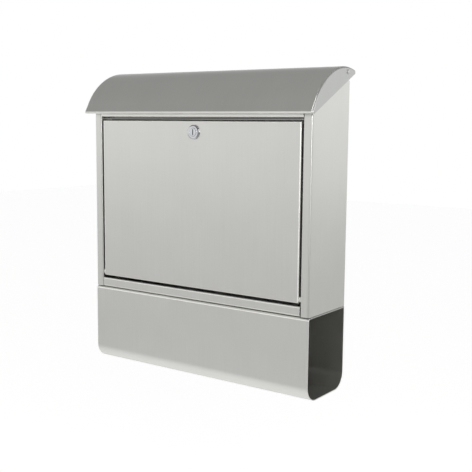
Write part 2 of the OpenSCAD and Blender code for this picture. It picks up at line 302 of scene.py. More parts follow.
def drilled(mesh: Mesh, cutter: Mesh) -> Mesh:
    """Cuts one closed mesh out of another."""
    return combined(mesh, cutter, "DIFFERENCE")


def combined(mesh: Mesh, other: Mesh, operation: str) -> Mesh:
    """Combines two closed meshes.

    Args:
        mesh: The mesh to keep.
        other: The mesh to cut with or to add.
        operation: Name of the Boolean operation.

    Returns:
        The combined mesh.
    """
    tool = linked("tool", other)

    def add_boolean(carrier: Object) -> None:
        """Adds the exact Boolean to the carrier.

        Args:
            carrier: The object that carries the mesh.
        """
        cut = carrier.modifiers.new("cut", "BOOLEAN")
        cut.operation = operation
        cut.solver = "EXACT"
        cut.object = tool

    made = evaluated(mesh, add_boolean)
    bpy.data.objects.remove(tool)
    return made


def joined(meshes: Iterable[Mesh], name: str) -> Mesh:
    """Puts separate shells into one mesh.

    Args:
        meshes: The shells.
        name: Name of the mesh.

    Returns:
        The mesh with all of them.
    """
    bm = bmesh.new()
    for mesh in meshes:
        bm.from_mesh(mesh)
    made = bpy.data.meshes.new(name)
    bm.to_mesh(made)
    bm.free()
    return made


def flat_shaded_flats(mesh: Mesh) -> Mesh:
    """Shades bends smoothly and keeps large flats flat, as on folded sheet.

    Args:
        mesh: The mesh to shade.

    Returns:
        The shaded mesh.
    """
    mesh.shade_smooth()
    mesh.set_sharp_from_angle(angle=SHARP_EDGE)

    def add_weights(carrier: Object) -> None:
        """Adds normals that follow the largest faces.

        Args:
            carrier: The object that carries the mesh.
        """
        weigh = carrier.modifiers.new("weigh", "WEIGHTED_NORMAL")
        weigh.keep_sharp = True
        weigh.weight = FLAT_WEIGHT

    return evaluated(mesh, add_weights)


def mark_painted_highlights(mesh: Mesh, share: float) -> None:
    """Paints a highlight on the bends and cut edges, which are known by their narrow faces.

    Args:
        mesh: The mesh, which gains a face attribute.
        share: How bright the painted highlight is; 1 is full.
    """
    bm = bmesh.new()
    bm.from_mesh(mesh)
    painted_share = mesh.attributes.new(PAINTED_LIGHT, "FLOAT", "FACE")
    for face in bm.faces:
        width = face.calc_area() / max(edge.calc_length() for edge in face.edges)
        turn = max(edge.calc_face_angle(0.0) for edge in face.edges)
        if width < HIGHLIGHT_WIDTH and turn > HIGHLIGHT_TURN and face.normal.z > HIGHLIGHT_FALL:
            painted_share.data[face.index].value = share
    bm.free()


def mark_faces(mesh: Mesh, rule: Callable[[Face], float]) -> None:
    """Marks by a rule how much painted light each face takes.

    Args:
        mesh: The mesh, which gains a face attribute.
        rule: Gives a face's painted light; 1 is a full painted highlight and below 0 is painted
            shade.
    """
    painted_share = mesh.attributes.new(PAINTED_LIGHT, "FLOAT", "FACE")
    for face in mesh.polygons:
        painted_share.data[face.index].value = rule(face)


class Side(Enum):
    """Left or right end of the box, with its sign along X."""

    LEFT = -1
    RIGHT = 1

    def node(self, stem: str) -> str:
        """Name of the frame node that is on this side."""
        return f"{stem}_{self.name.lower()}"

    def ends(self, low: float, high: float) -> Pair:
        """Inner and outer end of a span, seen from the middle of the box."""
        return (low, high) if self is Side.RIGHT else (high, low)


class Axis(Enum):
    """Direction of a turned piece."""

    X = "x"
    Y = "y"
    Z = "z"

    def place(self, along: float, across: Vector, centre: Vector) -> Vector:
        """Puts a point of a turned piece into the frame.

        Args:
            along: Coordinate along the axis.
            across: Offset from the axis.
            centre: Any point on the axis.

        Returns:
            The point in the frame.
        """
        if self is Axis.X:
            return Vector((along, centre.y + across.x, centre.z + across.y))
        if self is Axis.Y:
            return Vector((centre.x + across.x, along, centre.z + across.y))
        return Vector((centre.x + across.x, centre.y + across.y, along))


def turned(name: str, axis: Axis, centre: Vector, profile: Sequence[Vector],
           ring_shaped: bool = False, sides: int = 64) -> Mesh:
    """Turns a profile round an axis.

    Args:
        name: Name of the mesh.
        axis: Direction of the axis.
        centre: Any point on it.
        profile: Points of place along the axis and radius.
        ring_shaped: True for a closed profile that stays off the axis.
        sides: Number of facets round the piece.

    Returns:
        A closed mesh.
    """
    zero = Vector((0.0, 0.0))
    rings = []
    for along, radius in profile:
        circle = arc(zero, radius, 0.0, 2 * math.pi, sides)[:-1]
        rings.append([axis.place(along, across, centre) for across in circle])
    return skin(name, rings, ring_shaped)


def rod(name: str, axis: Axis, centre: Vector, span: Pair, radius: float,
        ease: float = EDGE, sides: int = 64) -> Mesh:
    """Turns a plain rod with eased ends.

    Args:
        name: Name of the mesh.
        axis: Direction of the rod.
        centre: Any point on its axis.
        span: Where it starts and ends along the axis.
        radius: Its radius.
        ease: Radius of its ends' edges.
        sides: Number of facets round it.

    Returns:
        A closed mesh.
    """
    start, end = span
    corners = points((start, 0), (start, radius), (end, radius), (end, 0))
    return turned(name, axis, centre, eased(corners, ease, closed=False), sides=sides)


def tube(name: str, centre: Vector, span: Pair, radius: float, bore: float) -> Mesh:
    """Turns a ring along X with eased edges.

    Args:
        name: Name of the mesh.
        centre: Any point on its axis.
        span: Where it starts and ends along X.
        radius: Its outer radius.
        bore: Its inner radius.

    Returns:
        A closed mesh.
    """
    start, end = span
    corners = points((start, bore), (start, radius), (end, radius), (end, bore))
    return turned(name, Axis.X, centre, eased(corners, RING_EASE, closed=True), ring_shaped=True)


def plate(name: str, outline: Sequence[Vector], axis: Axis, span: Pair, ease: float = EDGE) -> Mesh:
    """Cuts a flat plate with eased edges.

    Args:
        name: Name of the mesh.
        outline: Anticlockwise outline across the axis.
        axis: Direction of the plate's thickness.
        span: Where the plate starts and ends along the axis.
        ease: Radius of its edges.

    Returns:
        A closed mesh.
    """
    origin = Vector((0.0, 0.0, 0.0))
    rings = []
    for near in (True, False):
        for angle in EASE_ANGLES if near else reversed(EASE_ANGLES):
            depth, back = rounding(ease, angle)
            along = span[0] + depth if near else span[1] - depth
            rings.append([axis.place(along, p, origin) for p in inset(outline, back)])
    return skin(name, rings)


def hexagon(radius: float, centre: Vector) -> list[Vector]:
    """Outline of a hexagon nut, its corners on a circle."""
    return arc(centre, radius, 0.0, 2 * math.pi, 6)[:-1]


@dataclass
class FoldedSheet:
    """A sheet seen from its end, folded along a line of corners.

    The corners lie on the sheet's middle line. Each has the outer radius of its bend. The
    crown is the radius that the left face's ends are ground to, and may be more than the
    sheet is thick.
    """

    corners: list[Vector]
    radii: list[float]
    thickness: float = SHEET
    ease: float = EDGE
    crown: float = EDGE
    longest: float = 12 * MM
    bend_steps: int = 8

    def straight(self, start: Vector, end: Vector) -> list[tuple[Vector, Vector]]:
        """Marks along a straight stretch.

        Args:
            start: Its first point.
            end: Its last point.

        Returns:
            Points, each with the way to its left.
        """
        way = end - start
        count = max(1, math.ceil(way.length / self.longest))
        normal = left_of(way.normalized())
        return [(start + way * k / count, normal) for k in range(count + 1)]

    def marks(self) -> list[tuple[Vector, Vector]]:
        """Marks along the whole middle line.

        Returns:
            Points of the flats and the bends, each with the way to its left.
        """
        made: list[tuple[Vector, Vector]] = []
        start = self.corners[0]
        last = len(self.corners) - 1
        for i in range(1, last + 1):
            corner = self.corners[i]
            way = (corner - self.corners[i - 1]).normalized()
            if i == last:
                made += self.straight(start, corner)
                break
            next_way = (self.corners[i + 1] - corner).normalized()
            turn = turn_between(way, next_way)
            middle = self.radii[i] - self.thickness / 2
            reach = middle * math.tan(abs(turn) / 2)
            bend_start = corner - way * reach
            made += self.straight(start, bend_start)
            side = math.copysign(1.0, turn)
            centre = bend_start + left_of(way) * middle * side
            for k in range(1, self.bend_steps):
                arm = turned_by(bend_start - centre, turn * k / self.bend_steps)
                made.append((centre + arm, arm.normalized() * -side))
            start = corner + next_way * reach
        return made

    def faces_at(self, left_in: float, right_in: float) -> list[tuple[Vector, Vector, Vector]]:
        """Middle, left and right points of the section, drawn in from its outline.

        Args:
            left_in: How far the left face lies inside the full one.
            right_in: How far the right face and both cut ends do.

        Returns:
            One row of three points for each mark, with eased ends.
        """
        marks = self.marks()
        left = self.thickness / 2 - left_in
        right = self.thickness / 2 - right_in
        ease = min(max(self.ease - right_in, 0.0), (left + right) * END_SHARE)
        ends: list[list[tuple[Vector, Vector, Vector]]] = []
        for (point, normal), sign in ((marks[0], 1), (marks[-1], -1)):
            inwards = Vector((normal.y, -normal.x)) * sign
            rows = []
            for angle in EASE_ANGLES[::sign]:
                back, less = rounding(ease, angle)
                base = point + inwards * (right_in + back)
                rows.append((point, base + normal * (left - less), base - normal * (right - less)))
            ends.append(rows)
        return [*ends[0], *((p, p + n * left, p - n * right) for p, n in marks[1:-1]), *ends[1]]

    @property
    def crown_start(self) -> float:
        """Bearing on the crown's round at which the sheet's cut end meets it."""
        return math.asin(max(1 - (self.thickness - self.ease / 2) / self.crown, 0.0))

    def stations(self, cuts: int) -> list[tuple[float, float, float, float, float]]:
        """Places along the sweep.

        Args:
            cuts: Number of equal stretches along it.

        Returns:
            Rows of share, then reach and inset of the left face and of the right face.
        """
        first = self.crown_start
        start = rounding(self.crown, first)[0]
        made = []
        steps = len(EASE_ANGLES)
        for k in range(steps):
            a = math.pi / 2 * k / (steps - 1)
            b = first + (math.pi / 2 - first) * k / (steps - 1)
            back, inside = rounding(self.ease, a)
            made.append((0.0, *rounding(self.crown, b), start + back, inside))
        far = [(1.0, -left, l_in, -right, r_in) for _, left, l_in, right, r_in in reversed(made)]
        return made + [(k / cuts, 0.0, 0.0, 0.0, 0.0) for k in range(1, cuts)] + far

    def swept(self, name: str, place: Place, ends: Ends, cuts: int = 1) -> Mesh:
        """Sweeps the section into a sheet with eased edges all round.

        Args:
            name: Name of the mesh.
            place: Puts a section point at a distance along the sweep.
            ends: Gives, for a point on the middle line, where the sweep starts and ends.
            cuts: Number of equal stretches along the sweep.

        Returns:
            A closed mesh.
        """
        bm = bmesh.new()
        rings = []
        for share, left_along, left_in, right_along, right_in in self.stations(cuts):
            left, right = [], []
            for middle, left_point, right_point in self.faces_at(left_in, right_in):
                low, high = ends(middle)
                along = low + (high - low) * share
                left.append(bm.verts.new(place(left_point, along + left_along)))
                right.append(bm.verts.new(place(right_point, along + right_along)))
            rings.append((left, right))
        for (left, right), (left_2, right_2) in zip(rings, rings[1:]):
            low = left + right[::-1]
            high = left_2 + right_2[::-1]
            for i in range(len(low)):
                k = (i + 1) % len(low)
                bm.faces.new((low[i], low[k], high[k], high[i]))
        for left, right in (rings[0], rings[-1]):
            for i in range(len(left) - 1):
                bm.faces.new((left[i], left[i + 1], right[i + 1], right[i]))
        return closed_mesh(name, bm)


def across(point: Vector, x: float) -> Vector:
    """Places a section of depth and height at a width."""
    return Vector((x, point.x, point.y))


def upright(point: Vector, z: float) -> Vector:
    """Places a plan section at a height."""
    return Vector((point.x, point.y, z))


def along_depth(point: Vector, y: float) -> Vector:
    """Places a section of width and height at a depth."""
    return Vector((point.x, y, point.y))


# ---- Finishes ----


def linear(code: str) -> tuple[float, float, float, float]:
    """Turns an sRGB hex colour into a linear one.

    Args:
        code: The colour, as #rrggbb.

    Returns:
        Linear red, green, blue and alpha.
    """
    values = [int(code[i : i + 2], 16) / 255 for i in (1, 3, 5)]
    made = [v / 12.92 if v <= 0.04045 else ((v + 0.055) / 1.055) ** 2.4 for v in values]
    return (made[0], made[1], made[2], 1.0)


def add_node(tree: Tree, kind: str, feeds: dict | None = None, **settings: object
             ) -> bpy.types.Node:
    """Adds a node with its settings and what feeds its sockets.

    Args:
        tree: The node tree.
        kind: The node's type.
        feeds: Socket name or number to a value or to another node's output.
        settings: The node's own properties.

    Returns:
        The new node.
    """
    node = tree.nodes.new(kind)
    for name, value in settings.items():
        setattr(node, name, value)
    for name, value in (feeds or {}).items():
        if isinstance(value, Socket):
            tree.links.new(value, node.inputs[name])
        else:
            node.inputs[name].default_value = value
    return node


def calc(tree: Tree, operation: str, *terms: object) -> Socket:
    """Adds a sum and gives its result."""
    return add_node(tree, "ShaderNodeMath", dict(enumerate(terms)), operation=operation).outputs[0]


def vector_calc(tree: Tree, operation: str, *terms: object) -> bpy.types.NodeOutputs:
    """Adds a sum of vectors and gives its outputs."""
    feeds = dict(enumerate(terms))
    return add_node(tree, "ShaderNodeVectorMath", feeds, operation=operation).outputs


def mapped(tree: Tree, value: Socket, source: Pair, target: Pair) -> Socket:
    """Maps a value from one span onto another and holds it there."""
    return add_node(tree, "ShaderNodeMapRange", {
        "Value": value, "From Min": source[0], "From Max": source[1],
        "To Min": target[0], "To Max": target[1]}).outputs["Result"]


def noise(tree: Tree, place: Socket, scale: float, detail: float, roughness: float = 0.5) -> Socket:
    """Adds a noise, of which the scale is how many waves there are in a metre."""
    return add_node(tree, "ShaderNodeTexNoise", {
        "Vector": place, "Scale": scale, "Detail": detail, "Roughness": roughness}).outputs["Fac"]


def around_one(tree: Tree, value: Socket, spread: float) -> Socket:
    """Turns a noise into a factor from 1 less the spread to 1 and the spread."""
    return calc(tree, "MULTIPLY_ADD", value, spread * 2, 1 - spread)


def cleared(owner: bpy.types.Material | bpy.types.World) -> Tree:
    """Empties a node tree.

    Args:
        owner: The material or the world that has it.

    Returns:
        The tree.
    """
    owner.use_nodes = True
    owner.node_tree.nodes.clear()
    return owner.node_tree


def object_place(tree: Tree) -> Socket:
    """Adds the Object coordinates, in metres of the real piece."""
    return add_node(tree, "ShaderNodeTexCoord").outputs["Object"]


def end_in_shader(tree: Tree, colour: str, light: Socket, rough: Socket,
                  relief: tuple[Socket, float, float], metallic: float) -> None:
    """Ends a finish's tree in one shader.

    Args:
        tree: The material's tree.
        colour: sRGB hex colour.
        light: Factor on the colour.
        rough: Roughness.
        relief: Height of the surface, then its strength and its depth in metres.
        metallic: 1 for bare metal and 0 for plastic and rubber.
    """
    tint = add_node(tree, "ShaderNodeVectorMath", {0: linear(colour)[:3], "Scale": light},
                    operation="SCALE")
    bump = add_node(tree, "ShaderNodeBump", {
        "Height": relief[0], "Strength": relief[1], "Distance": relief[2]})
    shader = add_node(tree, "ShaderNodeBsdfPrincipled", {
        "Base Color": tint.outputs["Vector"], "Roughness": rough,
        "Normal": bump.outputs["Normal"], "Metallic": metallic})
    add_node(tree, "ShaderNodeOutputMaterial", {"Surface": shader.outputs["BSDF"]})


class Grain(Enum):
    """Way in which a sheet was ground, as how fast the marks change along X, Y and Z."""

    UPRIGHT = (1.0, 1.0, 0.0)
    WRAPPED = (1.0, 0.0, 0.0)


@dataclass(frozen=True)
class SatinStainless:
    """Cold-rolled stainless sheet, belt-ground to a satin face.

    The belt leaves fine parallel scratches, so the eye sees a soft grey sheen with faint
    streaks. Real scratches are some 0.05 mm apart; they are drawn nearly 1 mm apart, so
    that they show at all. Faces marked with painted light are drawn brighter, as a painted
    highlight, and where the mark is below 0 darker, as painted shade.
    """

    name: str
    grain: Grain
    colour: str = "#cfcfcb"
    roughness: float = 0.36
    noise_span: Pair = (0.25, 0.75)
    rough_span: Pair = (-0.04, 0.05)
    pitch_mm: float = 0.9
    run_mm: float = 90.0
    cloud_mm: float = 70.0
    streak: float = 0.05
    cloud: float = 0.035
    scratch_strength: float = 0.12
    scratch_mm: float = 0.02
    # How far the painted light scales the colour, and how much it adds to the roughness
    burnish_gain: float = 0.5
    burnish_blur: float = 0.1

    def material(self) -> bpy.types.Material:
        """Builds the material.

        Returns:
            The new material.
        """
        made = bpy.data.materials.new(self.name)
        tree = cleared(made)
        place = object_place(tree)
        run, fast = 1000 / self.run_mm, 1000 / self.pitch_mm
        scale = [run + (fast - run) * share for share in self.grain.value]
        stretch = add_node(tree, "ShaderNodeMapping", {"Vector": place, "Scale": scale})
        scratches = noise(tree, stretch.outputs[0], scale=1.0, detail=3.0, roughness=0.6)
        clouds = noise(tree, place, 1000 / self.cloud_mm, detail=2.0)
        light = calc(tree, "MULTIPLY", around_one(tree, scratches, self.streak),
                     around_one(tree, clouds, self.cloud))
        # Painted light from the face attribute: a painted highlight above 0, painted shade below 0
        painted_share = add_node(tree, "ShaderNodeAttribute", attribute_name=PAINTED_LIGHT).outputs["Fac"]
        lit = calc(tree, "MULTIPLY", light,
                   calc(tree, "MULTIPLY_ADD", painted_share, self.burnish_gain, 1.0))
        low, high = self.rough_span
        rough = mapped(tree, scratches, self.noise_span,
                       (self.roughness + low, self.roughness + high))
        blur = calc(tree, "MULTIPLY_ADD", painted_share, self.burnish_blur, rough)
        relief = (scratches, self.scratch_strength, self.scratch_mm * MM)
        end_in_shader(tree, self.colour, lit, blur, relief, metallic=1.0)
        return made


@dataclass(frozen=True)
class Speckled:
    """Small hardware and moulded parts: one colour with a fine speckle and bump."""

    name: str
    colour: str
    metallic: float
    roughness: float
    speckle_mm: float
    depth_mm: float
    contrast: float = 0.06
    strength: float = 0.3
    noise_span: Pair = (0.3, 0.7)
    rough_span: Pair = (0.85, 1.15)

    def material(self) -> bpy.types.Material:
        """Builds the material.

        Returns:
            The new material.
        """
        made = bpy.data.materials.new(self.name)
        tree = cleared(made)
        grit = noise(tree, object_place(tree), 1000 / self.speckle_mm, detail=3.0)
        low, high = (self.roughness * share for share in self.rough_span)
        rough = mapped(tree, grit, self.noise_span, (low, min(high, 1.0)))
        relief = (grit, self.strength, self.depth_mm * MM)
        end_in_shader(tree, self.colour, around_one(tree, grit, self.contrast), rough, relief,
                      self.metallic)
        return made


# Upright belt marks on all that stands; on hood and tray they run round the curve, and the
# sheen with them
UPRIGHT_SATIN = SatinStainless("satin_stainless_upright", Grain.UPRIGHT)
WRAPPED_SATIN = SatinStainless("satin_stainless_wrapped", Grain.WRAPPED)
# The end caps are drawn a little darker than the other sheet
CAP_SATIN = SatinStainless("satin_stainless_cap", Grain.UPRIGHT, colour="#b5b6b4")
# Turned steel: fine machining marks, a little duller than the sheet
TURNED_STEEL = Speckled("turned_stainless", "#b9bab8", metallic=1.0, roughness=0.3,
                        speckle_mm=0.4, depth_mm=0.01)
# Polished chrome plate over a zinc die casting: dark and bright mirror with few marks
CHROME = Speckled("polished_chrome", "#b9bbbd", metallic=1.0, roughness=0.12,
                  speckle_mm=3.0, depth_mm=0.002, contrast=0.02)
# Bright zinc plate: bluish, with a soft crystalline speckle
ZINC = Speckled("bright_zinc_plate", "#b4b9bf", metallic=1.0, roughness=0.38,
                speckle_mm=0.8, depth_mm=0.01, contrast=0.1)
# Natural nylon: milky white, moulded with a fine matt face
NYLON = Speckled("natural_nylon", "#dcdcd6", metallic=0.0, roughness=0.5,
                 speckle_mm=0.5, depth_mm=0.02, contrast=0.03)
# Black EPDM rubber: matt and slightly bloomed
RUBBER = Speckled("black_epdm_rubber", "#1c1c1c", metallic=0.0, roughness=0.75,
                  speckle_mm=0.6, depth_mm=0.03, contrast=0.15)

Finish = SatinStainless | Speckled


@dataclass
class Fitter:
    """Turns meshes into named pieces that ride on a body of the frame."""

    finishes: dict[str, bpy.types.Material] = field(default_factory=dict)
    count: int = 0

    def material(self, finish: Finish) -> bpy.types.Material:
        """Gives the material of a finish, built once.

        Args:
            finish: The finish.

        Returns:
            Its material.
        """
        if finish.name not in self.finishes:
            self.finishes[finish.name] = finish.material()
        return self.finishes[finish.name]

    def fit(self, mesh: Mesh, name: str, body: str, slot: str, finish: Finish,
            *nodes: str, painted_sheen: float = 1.0) -> None:
        """Makes a piece of a mesh.

        Args:
            mesh: The finished mesh, placed in the frame.
            name: Name of the piece.
            body: Body that it rides on.
            slot: Material slot of the record; not used.
            finish: Its finish.
            nodes: Frame nodes that it stands for.
            painted_sheen: How bright the painted highlight on its bends and edges is.
        """
        mesh = flat_shaded_flats(mesh)
        # Painted highlight on the bends and edges
        if painted_sheen:
            mark_painted_highlights(mesh, painted_sheen)
        mesh.name = name
        mesh.materials.clear()
        mesh.materials.append(self.material(finish))
        piece = linked(name, mesh)
        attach(piece, body)
        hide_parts(*nodes)
        self.count += 1
        LOG.info("%s: %d faces on %s", name, len(mesh.polygons), body)

    def dress(self, node: str, finish: Finish) -> None:
        """Gives a frame node that stays its finish.

        Args:
            node: The frame node.
            finish: Its finish.
        """
        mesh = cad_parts[node].data
        mesh.materials.clear()
        mesh.materials.append(self.material(finish))
        LOG.info("%s: kept from the frame", node)


def centre_of(node: str) -> Vector:
    """Middle of a frame node's box."""
    low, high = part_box(node)
    return (low + high) / 2


# ---- Geometry node trees ----


def new_tree(name: str, inputs: dict[str, str], output: str) -> tuple[Tree, bpy.types.NodeOutputs]:
    """Starts a geometry node tree.

    Args:
        name: Name of the tree.
        inputs: Name of each input to the last word of its socket's type.
        output: Name of the geometry that it gives.

    Returns:
        The tree and the outputs of its input node.
    """
    tree = bpy.data.node_groups.new(name, "GeometryNodeTree")
    for label, kind in inputs.items():
        tree.interface.new_socket(name=label, in_out="INPUT", socket_type=f"NodeSocket{kind}")
    tree.interface.new_socket(name=output, in_out="OUTPUT", socket_type="NodeSocketGeometry")
    return tree, add_node(tree, "NodeGroupInput").outputs


def end_in_pieces(tree: Tree, geometry: Socket, finish: Socket) -> None:
    """Ends a tree by making its copies real and giving them their finish.

    Args:
        tree: The tree.
        geometry: What it has made.
        finish: The material input.
    """
    real = add_node(tree, "GeometryNodeRealizeInstances", {"Geometry": geometry})
    dressed = add_node(tree, "GeometryNodeSetMaterial", {
        "Geometry": real.outputs[0], "Material": finish})
    add_node(tree, "NodeGroupOutput", {0: dressed.outputs[0]})


def roll_tree() -> Tree:
    """Builds the tree that rolls a flat blank round a cylinder along X.

    In the blank Y is the length along the curve and Z the height above the middle line.
    What lies past the curved length stays straight, along the curve's tangent.

    Returns:
        The tree.
    """
    tree, given = new_tree("rolled_sheet", {
        "Blank": "Geometry", "Radius": "Float", "Start bearing": "Float",
        "Curved length": "Float", "Centre depth": "Float", "Centre height": "Float",
        "Finish": "Material"}, "Sheet")

    def sum_of(operation: str, *terms: object) -> Socket:
        """Adds a sum to this tree."""
        return calc(tree, operation, *terms)

    at = add_node(tree, "GeometryNodeInputPosition").outputs[0]
    blank = add_node(tree, "ShaderNodeSeparateXYZ", {0: at}).outputs
    curved = sum_of("MINIMUM", blank["Y"], given["Curved length"])
    past = sum_of("SUBTRACT", blank["Y"], curved)
    turn = sum_of("DIVIDE", curved, given["Radius"])
    bearing = sum_of("ADD", turn, given["Start bearing"])
    cosine, sine = sum_of("COSINE", bearing), sum_of("SINE", bearing)
    out = sum_of("ADD", blank["Z"], given["Radius"])
    depth = sum_of("SUBTRACT", sum_of("MULTIPLY", out, cosine), sum_of("MULTIPLY", past, sine))
    height = sum_of("ADD", sum_of("MULTIPLY", out, sine), sum_of("MULTIPLY", past, cosine))
    rolled = add_node(tree, "ShaderNodeCombineXYZ", {
        "X": blank["X"],
        "Y": sum_of("ADD", depth, given["Centre depth"]),
        "Z": sum_of("ADD", height, given["Centre height"])})
    moved = add_node(tree, "GeometryNodeSetPosition", {
        "Geometry": given["Blank"], "Position": rolled.outputs[0]})
    end_in_pieces(tree, moved.outputs[0], given["Finish"])
    return tree


def seat_tree() -> Tree:
    """Builds the tree that sets a copy of one fastener on each point of a mesh.

    Returns:
        The tree.
    """
    tree, given = new_tree("seated_fasteners", {
        "Seats": "Geometry", "Fastener": "Object", "Largest turn": "Float", "Seed": "Int",
        "Finish": "Material"}, "Fasteners")
    one = add_node(tree, "GeometryNodeObjectInfo", {"Object": given["Fastener"]})
    turn = add_node(tree, "FunctionNodeRandomValue", {
        "Max": given["Largest turn"], "Seed": given["Seed"]}, data_type="FLOAT")
    about_z = add_node(tree, "ShaderNodeCombineXYZ", {"Z": turn.outputs["Value"]})
    copies = add_node(tree, "GeometryNodeInstanceOnPoints", {
        "Points": given["Seats"], "Instance": one.outputs["Geometry"],
        "Rotation": about_z.outputs[0]})
    end_in_pieces(tree, copies.outputs[0], given["Finish"])
    return tree


def run_tree(mesh: Mesh, tree: Tree, values: dict[str, object]) -> Mesh:
    """Runs a geometry node tree over a mesh.

    Args:
        mesh: The mesh to start from.
        tree: The tree.
        values: Its inputs by the names of their sockets.

    Returns:
        The result as a plain mesh.
    """

    def add_tree(carrier: Object) -> None:
        """Adds the tree to the carrier and sets its inputs by their identifiers.

        Args:
            carrier: The object that carries the mesh.
        """
        modifier = carrier.modifiers.new("tree", "NODES")
        modifier.node_group = tree
        for item in tree.interface.items_tree:
            if item.item_type == "SOCKET" and item.in_out == "INPUT" and item.name in values:
                modifier[item.identifier] = values[item.name]

    return evaluated(mesh, add_tree)


# ---- Sub-assemblies ----


@dataclass
class HoodArc:
    """The circle that the hood's sheet follows, found from the sheet's own box."""

    outer: float = 86 * MM
    lip: float = 13 * MM
    flare: float = 6.333 * MM

    def __post_init__(self) -> None:
        """Finds the centre, and the bearings of both ends of the curve."""
        low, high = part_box("hood_sheet")
        self.low, self.high = low, high
        self.middle = self.outer - SHEET / 2
        self.inner = self.outer - SHEET
        rise = low.z + self.lip - (high.z - self.outer)
        depth = math.sqrt(self.middle**2 - rise**2)
        self.centre = Vector((low.y + self.flare + SHEET / 2 + depth, high.z - self.outer))
        self.front = math.pi - math.asin(rise / self.middle)
        self.back = math.acos((high.y - self.centre.x) / self.outer)

    def height_at(self, y: float, radius: float) -> float:
        """Height of a circle about the hood's centre at a depth."""
        return self.centre.y + math.sqrt(max(radius**2 - (y - self.centre.x) ** 2, 0.0))


@dataclass
class Part:
    """What the sub-assemblies share: a fitter, a body and the rings on the hinge pins."""

    fitter: Fitter
    body: ClassVar[str] = ""

    def put(self, mesh: Mesh, node: str, how: str, slot: str, finish: Finish,
            painted_sheen: float = 1.0, body: str = "") -> None:
        """Fits a mesh that stands for one node.

        Args:
            mesh: The finished mesh.
            node: The frame node.
            how: How the piece is made, which ends its name.
            slot: Material slot of the record.
            finish: Its finish.
            painted_sheen: How bright the painted highlight on its bends and edges is.
            body: Body that it rides on, where it isn't the part's own.
        """
        self.fitter.fit(mesh, f"{node}_{how}", body or self.body, slot, finish, node, painted_sheen=painted_sheen)

    def nylon_ring(self, node: str) -> None:
        """Turns the ring that fills the gap round one hinge pin.

        Args:
            node: Frame node of the ring.
        """
        low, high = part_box(node)
        ring = tube(node, centre_of(node), (low.x, high.x), (high.z - low.z) / 2, PIN_HOLE)
        self.put(ring, node, "ring", "white_nylon", NYLON)


